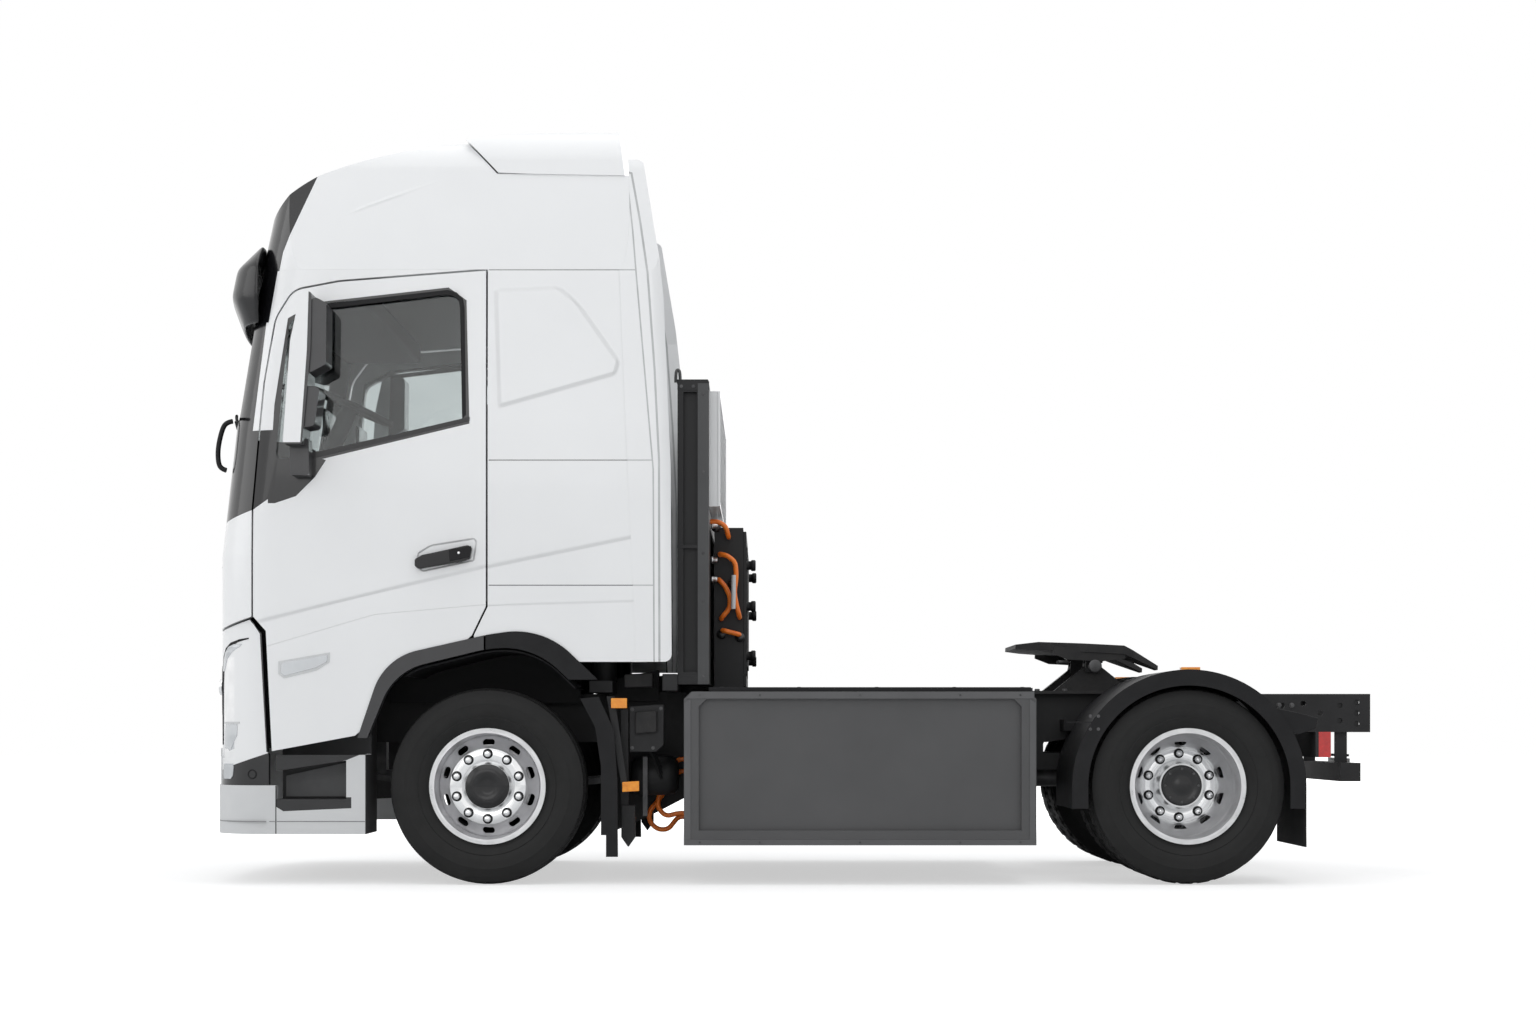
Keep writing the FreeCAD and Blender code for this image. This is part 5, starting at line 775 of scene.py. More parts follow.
def tyre_mesh(name, centre, side, look, body, node, drive=False):
    """A tyre with ribs, sipes and shoulder lugs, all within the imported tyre's outline."""
    whole = [(y, radius, False) for radius, y in TYRE_WALL]
    for index in range(TREAD_STEPS + 1):
        y = TREAD_HALF - 2 * TREAD_HALF * index / TREAD_STEPS
        past = max(0.0, (abs(y) - SHOULDER_START) / SHOULDER_START)
        crown = SHOULDER_DROP * past ** SHOULDER_POWER
        whole.append((y, WHEEL_Z - TREAD_INSET - crown, True))
    whole += [(-y, radius, False) for radius, y in reversed(TYRE_WALL)]
    count = len(whole)
    points = []
    faces = []
    for index in range(TYRE_STEPS):
        angle = 2 * math.pi * index / TYRE_STEPS
        for y, radius, is_tread in whole:
            reach = radius - (tread_depth(index, y, drive) if is_tread else 0.0)
            points.append((centre[0] + reach * math.cos(angle), centre[1] + y * side,
                           centre[2] + reach * math.sin(angle)))
        here = index * count
        there = (index + 1) % TYRE_STEPS * count
        for corner in range(count):
            after = (corner + 1) % count
            quad = [here + corner, here + after, there + after, there + corner]
            faces.append(quad if side > 0 else quad[::-1])
    item = mesh_piece(name, points, faces, look, body, True)
    item.data.set_sharp_from_angle(angle=math.radians(32.0))
    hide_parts(node)
    return item


def wheel_pieces(word, side, centre, cap, body):
    """Nuts, washers, hub cap and polished ring on the outer face of a wheel."""
    outward = (0, side, 0)
    studs = circle_spots(centre, STUD_CIRCLE, STUD_COUNT, 0.5)
    lathe("washers_" + word, WASHER, studs, outward, SEAL, body, steps=20)
    lathe("nuts_" + word, NUT, studs, outward, CHROME, body, steps=16)
    lathe("ring_" + word, DISC_RING, [centre], outward, CHROME, body, steps=72)
    lathe("hub_cap_" + word, cap, [centre], outward, GLOSS_BLACK, body, steps=60)


def add_wheels():
    for side, word in SIDES:
        body = "wheel_front_" + word
        middle = side * FRONT_MIDDLE
        tyre_mesh("tyre_front_tread_" + word, (FRONT_AXLE, middle, WHEEL_Z), side, RUBBER, body,
                  "tyre_front_" + word)
        wheel_pieces("front_" + word, side, (FRONT_AXLE, middle + side * FRONT_FACE, WHEEL_Z),
                     FRONT_CAP, body)
        body = "wheel_rear_" + word
        for place, label in ((REAR_OUTER, "outer"), (REAR_INNER, "inner")):
            tyre_mesh("tyre_rear_" + label + "_" + word, (REAR_AXLE, side * place, WHEEL_Z), side,
                      RUBBER, body, "tyres_rear_" + word, True)
        face_y = side * REAR_MIDDLE + side * REAR_FACE
        wheel_pieces("rear_" + word, side, (REAR_AXLE, face_y, WHEEL_Z), REAR_CAP, body)
        cap_end = (REAR_AXLE, face_y + side * HUB_BOLT_LEVEL, WHEEL_Z)
        bolts("hub_bolts_rear_" + word, circle_spots(cap_end, HUB_BOLT_CIRCLE, HUB_BOLT_COUNT),
              (0, side, 0), radius=0.007, height=0.003, body=body)


add_wheels()


# Door parts

DOOR_SKIN = 1.2502
LEVER_FACE = DOOR_SKIN + 0.038
LOCK_PLACE = (461, 554)
LOCK = [(0.0, 0.0), (0.0, 0.007), (0.002, 0.006), (0.002, 0.0)]
SEAL_OUTER = ((319, 306.5), (449, 291.5), (458, 294), (464, 300), (465.5, 309), (467.5, 421))
SEAL_INNER = ((320, 311), (448.5, 296), (456, 298), (460.2, 302.5), (461.5, 310), (463.5, 421))
WINDOW_SEAL = [(SEAL_OUTER[index], SEAL_OUTER[index + 1], SEAL_INNER[index + 1],
                SEAL_INNER[index]) for index in range(len(SEAL_OUTER) - 1)]
# Each door's slabs: the name, the outlines in the photograph, the widths, the look and the bevel
DOOR_SLABS = (
    ("handle", [((417, 560), (424, 556), (470, 546), (474, 549), (472, 560), (462, 563),
                 (421, 570), (417, 567))], (DOOR_SKIN, DOOR_SKIN + 0.034), GLOSS_BLACK, 0.006),
    ("skirt_lamp", [((284, 663), (330, 655), (329, 662), (318, 668), (287, 676), (283, 673))],
     (DOOR_SKIN, DOOR_SKIN + 0.006), LENS, 0.002),
    ("skirt_lamp_rim", [((280.5, 661.5), (332, 652.5), (331.5, 662.5), (319, 670.5), (286, 678.5),
                         (280.5, 674))], (DOOR_SKIN, DOOR_SKIN + 0.003), SILVER, 0.001),
    ("handle_lever", [((451, 550.5), (473, 547), (472, 558), (452, 562.5))],
     (DOOR_SKIN, LEVER_FACE), SEAL, 0.003),
    ("window_seal", WINDOW_SEAL, (1.2300, 1.2490), SEAL, 0.0),
    ("door_trim", [((296, 600), (462, 600), (462, 445), (296, 482))], (1.130, 1.1445), LINING,
     0.004),
    ("arm_rest", [((330, 540), (440, 520), (440, 506), (330, 526))], (1.065, 1.1305), INSIDE,
     0.010),
    ("sill_seal", [((296, 464), (471, 422), (471, 418), (296, 459))], (1.2415, 1.2535),
     GLOSS_BLACK, 0.001),
)


def add_door_parts():
    for side, word in SIDES:
        add_slabs(DOOR_SLABS, side, word, "door_" + word)
        lathe("lock_" + word, LOCK, photo_spots(side * LEVER_FACE, [LOCK_PLACE]), (0, side, 0),
              CHROME, "door_" + word, steps=16)


add_door_parts()


# Front end

PANEL_HALF = 1.214
PANEL_CORNER = 0.28
PANEL_THICKNESS = 0.012
CORNER_START = math.asin((PANEL_HALF - PANEL_CORNER) / (1 - PANEL_CORNER / PANEL_BOW) / PANEL_BOW)
# The front's lean: how far it reaches ahead of the axle at each height
FRONT_LEAN = ((0.599, 1.5), (1.693, 1.5), (2.348, 1.425), (3.154, 1.2945), (3.981, 1.1175))


def corner_place(side, turn, z, outward):
    """A place on the rounded front corner: turn 0 at the front and 1 at the side."""
    angle = CORNER_START + (math.pi / 2 - CORNER_START) * turn
    centre_x = PANEL_FRONT + PANEL_BOW - (PANEL_BOW - PANEL_CORNER) * math.cos(CORNER_START)
    radius = PANEL_CORNER + outward
    return (centre_x - radius * math.cos(angle),
            side * (PANEL_HALF - PANEL_CORNER + radius * math.sin(angle)), z)


def corner_patch(name, side, rows, outward, look, columns=14):
    """A thin panel that wraps the corner, from rows of (z, first turn, last turn)."""
    thin_panel(name, rows, (outward, outward - PANEL_THICKNESS),
               functools.partial(corner_place, side), look, "chassis", columns)


def front_place(y, z, outward=0.0):
    """A place on the bowed front of the cab."""
    reach = FRONT_LEAN[0][1]
    for (low, low_reach), (high, high_reach) in zip(FRONT_LEAN, FRONT_LEAN[1:]):
        if low <= z <= high:
            reach = low_reach + (high_reach - low_reach) * ((z - low) / (high - low))
    return (FRONT_AXLE - reach + y * y / (2 * PANEL_BOW) - outward, y, z)


def front_patch(name, rows, look, body, outward, thick, columns):
    """A panel on the bowed front, from rows of (z, first y, last y)."""
    thin_panel(name, rows, (outward, outward - thick), front_place, look, body, columns, True)


# Panels on each front corner: the name, rows of (z, first turn, last turn), how far out, the look
CORNER_PATCHES = (
    ("lamp_line", [(1.268, 0.735, 0.755), (1.262, 0.60, 0.745), (1.246, 0.42, 0.56),
                   (1.218, 0.28, 0.40), (1.178, 0.19, 0.28), (1.12, 0.145, 0.20),
                   (1.02, 0.12, 0.16), (0.86, 0.11, 0.15), (0.72, 0.12, 0.15)], 0.003, SEAL),
    ("day_lamp", [(1.238, 0.50, 0.64), (1.224, 0.36, 0.60), (1.196, 0.26, 0.44),
                  (1.160, 0.20, 0.31), (1.10, 0.165, 0.23)], 0.0035, LENS),
    ("side_lamp", [(0.826, 0.28, 0.555), (0.800, 0.26, 0.56), (0.768, 0.25, 0.555),
                   (0.700, 0.24, 0.43)], 0.003, LENS),
    ("side_lamp_edge", [(0.838, 0.24, 0.60), (0.828, 0.24, 0.60)], 0.004, SILVER),
    ("fog_lamp", [(0.622, 0.20, 0.47), (0.606, 0.19, 0.49), (0.560, 0.19, 0.47),
                  (0.544, 0.20, 0.42)], 0.004, LENS),
)
JACK_TURN, JACK_Z = 0.80, 0.569
JACK_HOLE = [(-0.002, 0.0), (-0.002, 0.017), (0.004, 0.020), (0.004, 0.024), (0.0, 0.026)]
LAMP_BED_INNER = 0.812
LAMP_BED_ROWS = ((0.875, 0.95), (0.93, 0.985), (1.10, 0.985), (1.13, 0.95))
LAMP_WIDTHS = (0.862, 0.948)
LAMP_Z = 1.02
LAMP_SINK = 0.001
LAMP_RING = [(-0.004, 0.041), (0.008, 0.041), (0.010, 0.038), (0.003, 0.030), (0.001, 0.029)]
LAMP_DOME = [(-0.004, 0.029), (0.003, 0.027), (0.008, 0.018), (0.010, 0.008), (0.0105, 0.0)]
GRAB_Y = 0.985
GRAB_RUN = ((-2.952, 2.405), (-2.985, 2.400), (-3.008, 2.36), (-3.030, 2.26), (-3.026, 2.18),
            (-3.005, 2.155), (-2.985, 2.150))
SLAT_FOOT, SLAT_STEP, SLAT_HEIGHT, SLAT_HALF = 1.035, 0.052, 0.018, 0.60
# Panels on the bowed front: the name, low and high z, half width, look, body, how far out,
# thickness and columns
FRONT_PATCHES = (
    ("number_plate", 0.560, 0.670, 0.26, PLATE, "chassis", 0.0166, 0.006, 16),
    ("plate_holder", 0.548, 0.682, 0.272, SEAL, "chassis", 0.0159, 0.008, 16),
    # The bumper's crease line is a thin grey strip of painted shade
    ("bumper_crease", 0.325, 0.329, 0.98, CREASE_SHADE, "chassis", 0.0158, 0.004, 60),
    ("front_seam_low", 1.100, 1.104, 0.72, SEAL, "cab", 0.0008, 0.004, 40),
    ("front_seam_high", 1.640, 1.644, 0.985, SEAL, "cab", 0.0008, 0.004, 40),
)
# Wipers: the pivot's y, the arm's far y and the name
WIPERS = ((0.62, -0.30, "near"), (-0.05, -0.92, "far"))
WIPER_STEPS = 8
ARM_FOOT, ARM_RISE, ARM_TURN, ARM_GAP = 2.335, 0.075, 1.4, 0.016
BLADE_FOOT, BLADE_FALL, BLADE_GAP = 2.425, 0.018, 0.010
BLADE_LEAD, BLADE_LENGTH = 0.36, 0.62


def add_front_corner(side, word):
    for name, rows, outward, look in CORNER_PATCHES:
        corner_patch(name + "_" + word, side, rows, outward, look)
    hole = corner_place(side, JACK_TURN, JACK_Z, 0.0)
    away = Vector(corner_place(side, JACK_TURN, JACK_Z, 1.0)) - Vector(hole)
    lathe("jack_hole_" + word, JACK_HOLE, [hole], away, SEAL, steps=24)
    rows = [(z, *sorted((side * LAMP_BED_INNER, side * far))) for z, far in LAMP_BED_ROWS]
    front_patch("lamp_bed_" + word, rows, SEAL, "chassis", outward=0.0015, thick=0.004,
                columns=12)
    for index, y in enumerate(LAMP_WIDTHS):
        place = (PANEL_FRONT + y * y / (2 * PANEL_BOW) - LAMP_SINK, side * y, LAMP_Z)
        lathe("headlamp_ring_%s_%d" % (word, index), LAMP_RING, [place], (-1, 0, 0), CHROME,
              steps=40)
        lathe("headlamp_dome_%s_%d" % (word, index), LAMP_DOME, [place], (-1, 0, 0), LENS,
              steps=32)
    pipe("grab_handle_" + word, [[(x, side * GRAB_Y, z) for x, z in GRAB_RUN]], 0.013, SEAL, "cab")


def add_wiper(start, end, word):
    shares = [index / WIPER_STEPS for index in range(WIPER_STEPS + 1)]
    arm = [front_place(start + (end - start) * share,
                       ARM_FOOT + ARM_RISE * math.sin(share * ARM_TURN), ARM_GAP)
           for share in shares]
    blade = [front_place(end + BLADE_LEAD - BLADE_LENGTH * share, BLADE_FOOT - BLADE_FALL * share,
                         BLADE_GAP) for share in shares]
    pipe("wiper_arm_" + word, [arm], 0.007, SEAL, "cab")
    pipe("wiper_blade_" + word, [blade], 0.008, SEAL, "cab")


def add_front_details():
    for side, word in SIDES:
        add_front_corner(side, word)
    for index in range(4):
        z = SLAT_FOOT + SLAT_STEP * index
        rows = [(z, -SLAT_HALF, SLAT_HALF), (z + SLAT_HEIGHT, -SLAT_HALF, SLAT_HALF)]
        front_patch("grille_slat_%d" % index, rows, SEAL, "cab", outward=0.006, thick=0.012,
                    columns=24)
    for name, low, high, half, *rest in FRONT_PATCHES:
        front_patch(name, [(low, -half, half), (high, -half, half)], *rest)
    for start, end, word in WIPERS:
        add_wiper(start, end, word)


add_front_details()


# Chassis pieces behind the front wheel, battery boxes and tower

VALVE_FACE, BOX_FACE, TOWER_FACE, TOWER_RAISED = 1.06, 1.2235, 1.120, 1.1225
# Each side's slabs: the name, the outlines in the photograph, the widths, the look and the bevel
SIDE_SLABS = (
    ("marker_high", [((611, 698), (627, 698), (627, 708), (611, 708))], (1.168, 1.190), AMBER,
     0.003),
    ("marker_low", [((622, 782), (639, 781), (639, 791), (622, 792))], (1.150, 1.172), AMBER,
     0.003),
    ("marker_bar", [((606, 696), (614, 696), (628, 790), (622, 794))], (1.140, 1.152), FRAME,
     0.002),
    ("valve_plate", [((628, 706), (663, 704), (663, 745), (655, 752), (628, 752))],
     (1.02, VALVE_FACE), FRAME, 0.004),
    ("valve_block", [((634, 712), (656, 710), (656, 732), (634, 734))], (VALVE_FACE, 1.085), CAST,
     0.006),
    ("mount_block", [((622, 673), (651, 672), (651, 686), (622, 687))], (0.86, 0.98), CAST, 0.006),
    ("mount_post", [((619, 709), (627, 709), (627, 812), (619, 812))], (1.02, 1.05), FRAME, 0.002),
    ("lower_bracket", [((620, 806), (634, 806), (634, 838), (627, 848), (620, 838))],
     (1.0, 1.08), FRAME, 0.003),
    ("tank_strap_a", [((640, 757), (645, 757), (645, 818), (640, 818))], (0.90, 0.905), STEEL,
     0.001),
    ("box_edges", [((686, 698.5), (1034, 698.5), (1034, 691.5), (693, 691.5)),
                   ((684.5, 845), (1035.5, 845), (1035.5, 839.5), (684.5, 839.5)),
                   ((684.5, 839.5), (691, 839.5), (691, 699), (684.5, 703)),
                   ((1029.5, 839.5), (1035.5, 839.5), (1035.5, 703), (1029.5, 699))],
     (1.2200, BOX_FACE), BOX_EDGE, 0.001),
    ("box_shadow_line", [((709, 691), (1031, 691), (1031, 687), (709, 687))], (1.17, 1.20), SEAL,
     0.0),
    ("tower_post", [((697.5, 684), (708.5, 684), (708.5, 381), (697.5, 381))],
     (TOWER_FACE, TOWER_RAISED), POST, 0.001),
    ("tower_bands", [((677, 388), (709, 388), (709, 379), (677, 379)),
                     ((677, 547), (708, 547), (708, 543.5), (677, 543.5)),
                     ((677, 684), (708, 684), (708, 676), (677, 676))],
     (TOWER_FACE, 1.1215), TOWER, 0.001),
)
AIR_TANK = [(0.0, 0.0), (0.0, 0.07), (0.02, 0.095), (0.05, 0.105), (0.20, 0.105), (0.23, 0.095),
            (0.25, 0.07), (0.25, 0.0)]
AIR_TANK_X, AIR_TANK_Y, AIR_TANK_Z = -0.885, 0.76, 0.555
# The air lines' points, each with how far a line's shift takes it out and down
AIR_LINE_RUN = ((-0.93, 0.90, 0.90, 0, 1), (-0.86, 0.95, 0.86, 1, 0), (-0.80, 0.97, 0.78, 0, 1),
                (-0.76, 0.92, 0.66, 0, 0), (-0.72, 0.88, 0.60, 0, 1))
AIR_LINE_SHIFTS = (0.0, 0.03, 0.06)
VALVE_BOLTS = ((631, 709), (660, 708), (631, 748), (652, 748))
BOX_BOLTS = tuple(itertools.product((700, 760, 860, 960, 1020), (695, 842)))
TOWER_BOLTS = ((703, 392), (703, 470), (703, 552), (703, 600), (703, 676), (681, 384), (693, 384))
LIFTING_EYE = ((-0.640, 2.600), (-0.640, 2.655), (-0.628, 2.668), (-0.616, 2.655),
               (-0.616, 2.600))
LIFTING_EYE_Y = 1.04


def add_side_pieces():
    for side, word in SIDES:
        outward = (0, side, 0)
        add_slabs(SIDE_SLABS, side, word)
        lathe("air_tank_" + word, AIR_TANK, [(AIR_TANK_X, side * AIR_TANK_Y, AIR_TANK_Z)],
              (1, 0, 0), FRAME, steps=40)
        lines = [[(x, side * (y + out * shift), z - down * shift)
                  for x, y, z, out, down in AIR_LINE_RUN] for shift in AIR_LINE_SHIFTS]
        pipe("air_lines_" + word, lines, 0.008, SEAL, resolution=3)
        bolts("valve_bolts_" + word, photo_spots(side * VALVE_FACE, VALVE_BOLTS), outward,
              radius=0.007, height=0.006, washer=0.010)
        bolts("box_bolts_" + word, photo_spots(side * BOX_FACE, BOX_BOLTS), outward,
              radius=0.006, height=0.003)
        bolts("tower_bolts_" + word, photo_spots(side * TOWER_RAISED, TOWER_BOLTS), outward,
              radius=0.006, height=0.004, washer=0.009)
        pipe("lifting_eye_" + word, [[(x, side * LIFTING_EYE_Y, z) for x, z in LIFTING_EYE]],
             0.008, STEEL, resolution=4)


add_side_pieces()


# Dark inner panels that close the view past the front wheel and the corner gap, with thin grey
# lines of painted shade along the step's and the bumper's crease

BACKING_SLABS = (
    ("step_back", [((281, 776), (345, 762), (345, 797), (281, 797))], (1.0485, 1.056), GREY_STEP,
     0.0),
    ("mount_housing", [((600, 677), (654, 667), (654, 700), (600, 700))], (0.50, 0.58), FRAME,
     0.004),
    ("splash_plate", [((602, 690), (683, 690), (683, 800), (660, 812), (640, 822), (602, 838))],
     (0.555, 0.565), FRAME, 0.002),
)
CREASE_LOW, CREASE_HIGH = 0.325, 0.329
STEP_INNER = 1.208
# Each side's plain boxes: the name, spans in x, width and z, the look and the bevel
BACKING_BOXES = (
    ("corner_backing", [((-2.80, -2.66), (1.08, 1.10), (0.70, 1.34))], SEAL, 0.002),
    ("step_seam", [((-2.6835, -2.6785), (STEP_INNER, 1.2145), (0.264, 0.51))], SEAL, 0.0),
    # The step's crease lines are thin grey strips of painted shade
    ("step_crease_shade", [((-2.676, -2.222), (STEP_INNER, 1.2155), (CREASE_LOW, CREASE_HIGH)),
                     ((-2.714, -2.686), (STEP_INNER, 1.2155), (CREASE_LOW, CREASE_HIGH))],
     CREASE_SHADE, 0.0),
)


def add_backings():
    for side, word in SIDES:
        add_slabs(BACKING_SLABS, side, word)
        for name, spans, look, bevel in BACKING_BOXES:
            side_boxes(name + "_" + word, side, spans, look, bevel)
        # A thin grey strip of painted shade along the bumper's crease round each corner
        corner_patch("bumper_crease_" + word, side,
                     [(CREASE_HIGH, 0.0, 1.0), (CREASE_LOW, 0.0, 1.0)], outward=0.0152,
                     look=CREASE_SHADE, columns=20)


add_backings()


# Inside the cab

FLOOR_TOP = 1.445
SEAT_FRONT, SEAT_REAR = -2.0525, -1.5525
SEAT_TOP = 1.875
SEAT_MIDDLE, SEAT_HALF = 0.62, 0.26
LANE_OUT = 0.17
PAD_INSET, PAD_FOOT, PAD_HEAD = 0.024, 0.004, 0.106
BACK_DEPTH, BACK_INSET, BACK_FOOT, BACK_HEAD = 0.108, 0.026, 2.022, 2.540
HEAD_DEPTH, HEAD_GAP, HEAD_HALF, HEAD_FOOT, HEAD_TOP = 0.104, 0.028, 0.125, 2.600, 2.745
POST_DEPTH, POST_OUT, POST_HEIGHTS = 0.066, 0.06, (2.50, 2.64)
REST_GAP = 0.0015
BACK_REST = 2.008
STAND_INSET, STAND_DROP = 0.05, 0.09
TRAY_INSET, TRAY_REAR, TRAY_DEPTH = 0.02, 0.01, 0.085
FLOOR_GAP = 0.001
PAD_SEAMS = (-1.93, -1.83)
BACK_SEAMS = (2.17, 2.29, 2.41)
HEAD_SEAMS = (2.672,)
BUNK_FRONT, BUNK_REAR = -1.521, -0.901
BUNK_LOW, BUNK_TOP = 1.965, 2.095
MATTRESS_HALF, MATTRESS_INSET, MATTRESS_REAR, MATTRESS_FOOT = 1.158, 0.022, 0.024, 0.004
MATTRESS_SEAMS = (-0.58, 0.0, 0.58)
PRESSURE = 4.0
LAST_FRAME = 20
PAD_ROUNDING = 0.03
SEAM_REACH = 3


def bake(item):
    """The mesh takes the shape that its modifiers give it."""
    graph = bpy.context.evaluated_depsgraph_get()
    data = bpy.data.meshes.new_from_object(item.evaluated_get(graph), depsgraph=graph)
    item.modifiers.clear()
    old = item.data
    item.data = data
    bpy.data.meshes.remove(old)


def remesh(item, voxel):
    made = item.modifiers.new("remesh", "REMESH")
    made.mode = "VOXEL"
    made.voxel_size = voxel


def inflate(item, cap):
    """Swells a closed mesh as cloth under pressure; no point moves further than the cap."""
    start = [point.co.copy() for point in item.data.vertices]
    cloth = item.modifiers.new("cloth", "CLOTH")
    cloth.settings.use_pressure = True
    cloth.settings.uniform_pressure_force = PRESSURE
    cloth.settings.effector_weights.gravity = 0.0
    cloth.settings.quality = 4
    cloth.point_cache.frame_start = 1
    cloth.point_cache.frame_end = LAST_FRAME
    for moment in range(1, LAST_FRAME + 1):
        bpy.context.scene.frame_set(moment)
    graph = bpy.context.evaluated_depsgraph_get()
    moved = [point.co.copy() for point in item.evaluated_get(graph).data.vertices]
    item.modifiers.remove(cloth)
    bpy.context.scene.frame_set(1)
    for point, before, after in zip(item.data.vertices, start, moved):
        step = after - before
        if step.length > cap:
            step *= cap / step.length
        point.co = before + step


def stuffed(name, low, high, look, voxel, cap, rest_z=-math.inf, channels=()):
    """A pad blown up from a rounded block, then sewn in channels of (axis, level, depth, half)."""
    item = boxes(name, [(low, high)], look, "cab")
    add_bevel(item, min(PAD_ROUNDING, (high[2] - low[2]) / 3), 3)
    remesh(item, voxel)
    bake(item)
    inflate(item, cap)
    for point in item.data.vertices:
        for axis, level, depth, half in channels:
            near = (point.co[axis] - level) / half
            if abs(near) < SEAM_REACH:
                point.co -= point.normal * depth * math.exp(-near * near)
        point.co.z = max(point.co.z, rest_z)
    smooth = item.modifiers.new("smooth", "SUBSURF")
    smooth.levels = 1
    smooth.render_levels = 1
    item.data.shade_smooth()
    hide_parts("seats_and_bunk")


def level_channels(axis, levels, depth, half):
    return [(axis, level, depth, half) for level in levels]


def add_seat(side, word):
    middle = side * SEAT_MIDDLE
    low, high = middle - SEAT_HALF, middle + SEAT_HALF
    lanes = (middle - LANE_OUT, middle + LANE_OUT)
    stuffed("seat_pad_" + word,
            (SEAT_FRONT + PAD_INSET, low + PAD_INSET, SEAT_TOP + PAD_FOOT),
            (SEAT_REAR - PAD_INSET, high - PAD_INSET, SEAT_TOP + PAD_HEAD), CLOTH,
            voxel=0.013, cap=0.022, rest_z=SEAT_TOP + REST_GAP,
            channels=level_channels(1, lanes, depth=0.010, half=0.007)
            + level_channels(0, PAD_SEAMS, depth=0.007, half=0.006))
    stuffed("seat_back_" + word, (SEAT_REAR - BACK_DEPTH, low + BACK_INSET, BACK_FOOT),
            (SEAT_REAR - PAD_INSET, high - BACK_INSET, BACK_HEAD), CLOTH,
            voxel=0.013, cap=0.020, rest_z=BACK_REST,
            channels=level_channels(1, lanes, depth=0.009, half=0.007)
            + level_channels(2, BACK_SEAMS, depth=0.006, half=0.006))
    stuffed("head_rest_" + word, (SEAT_REAR - HEAD_DEPTH, middle - HEAD_HALF, HEAD_FOOT),
            (SEAT_REAR - HEAD_GAP, middle + HEAD_HALF, HEAD_TOP), CLOTH,
            voxel=0.012, cap=0.016,
            channels=level_channels(2, HEAD_SEAMS, depth=0.005, half=0.006))
    posts = [[(SEAT_REAR - POST_DEPTH, middle + across, z) for z in POST_HEIGHTS]
             for across in (-POST_OUT, POST_OUT)]
    pipe("head_rest_posts_" + word, posts, 0.006, CHROME, "cab")
    stand = ((SEAT_FRONT + STAND_INSET, low + STAND_INSET, FLOOR_TOP + FLOOR_GAP),
             (SEAT_REAR - STAND_INSET, high - STAND_INSET, SEAT_TOP - STAND_DROP))
    tray = ((SEAT_FRONT + TRAY_INSET, low + TRAY_INSET, SEAT_TOP - TRAY_DEPTH),
            (SEAT_REAR - TRAY_REAR, high - TRAY_INSET, SEAT_TOP))
    boxes("seat_stand_" + word, [stand, tray], INSIDE, "cab", 0.012)


# Plain boxes in the cab: the name, pairs of corners, the look and the bevel
CAB_BOXES = (
    ("bunk_base", [((BUNK_FRONT + 0.018, -1.16, FLOOR_TOP + FLOOR_GAP),
                    (BUNK_REAR - 0.002, 1.16, BUNK_LOW))], LINING, 0.010),
    ("roof_console", [((-2.700, -1.02, 3.000), (-2.250, 1.02, 3.120))], INSIDE, 0.02),
    ("rear_lockers", [((-1.330, -1.10, 2.860), (-0.950, 1.10, 3.180))], LINING, 0.02),
    ("floor_mat", [((-2.30, -1.08, FLOOR_TOP + 0.0005), (-1.56, 1.08, FLOOR_TOP + 0.008))], SEAL,
     0.002),
    ("dash_screens", [((-2.520, -0.78, 2.36), (-2.505, -0.46, 2.50)),
                      ((-2.430, -0.26, 2.30), (-2.412, 0.02, 2.47))], GLOSS_BLACK, 0.004),
)


def add_cab_inside():
    for side, word in SIDES:
        add_seat(side, word)
    stuffed("mattress", (BUNK_FRONT + MATTRESS_INSET, -MATTRESS_HALF, BUNK_LOW + MATTRESS_FOOT),
            (BUNK_REAR - MATTRESS_REAR, MATTRESS_HALF, BUNK_TOP - MATTRESS_INSET), BEDDING,
            voxel=0.022, cap=0.020, rest_z=BUNK_LOW + REST_GAP,
            channels=level_channels(1, MATTRESS_SEAMS, depth=0.008, half=0.014))
    add_boxes(CAB_BOXES, "cab")


add_cab_inside()


VISOR_VOXEL = 0.0065
VISOR_PASSES = 80


def add_visor():
    """The sun visor as a moulded hood, from the CAD visor with its folds smoothed round."""
    item = keep(add_object("visor_hood", NODES["sun_visor"].data.copy()), GLOSS_BLACK, "cab")
    remesh(item, VISOR_VOXEL)
    smooth = item.modifiers.new("smooth", "SMOOTH")
    smooth.factor = 0.5
    smooth.iterations = VISOR_PASSES
    bake(item)
    item.data.shade_smooth()
    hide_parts("sun_visor")


add_visor()


# Equipment behind the cab

UNIT_PLUG = [(0.0, 0.030), (0.012, 0.030), (0.014, 0.024), (0.040, 0.024), (0.044, 0.030),
             (0.062, 0.030), (0.066, 0.024), (0.066, 0.0)]
UNIT_COLLAR = [(0.0, 0.026), (0.010, 0.026), (0.014, 0.020), (0.024, 0.020), (0.024, 0.0)]
CABLE_GLAND = [(0.0, 0.0), (0.0, 0.019), (0.012, 0.019), (0.012, 0.015), (0.030, 0.015),
               (0.034, 0.011), (0.034, 0.0)]
PLUG_ROWS = ((739, 557), (739, 600), (733, 652))
COLLAR_PLACES = ((714, 518), (731, 577), (741, 633), (720, 630))
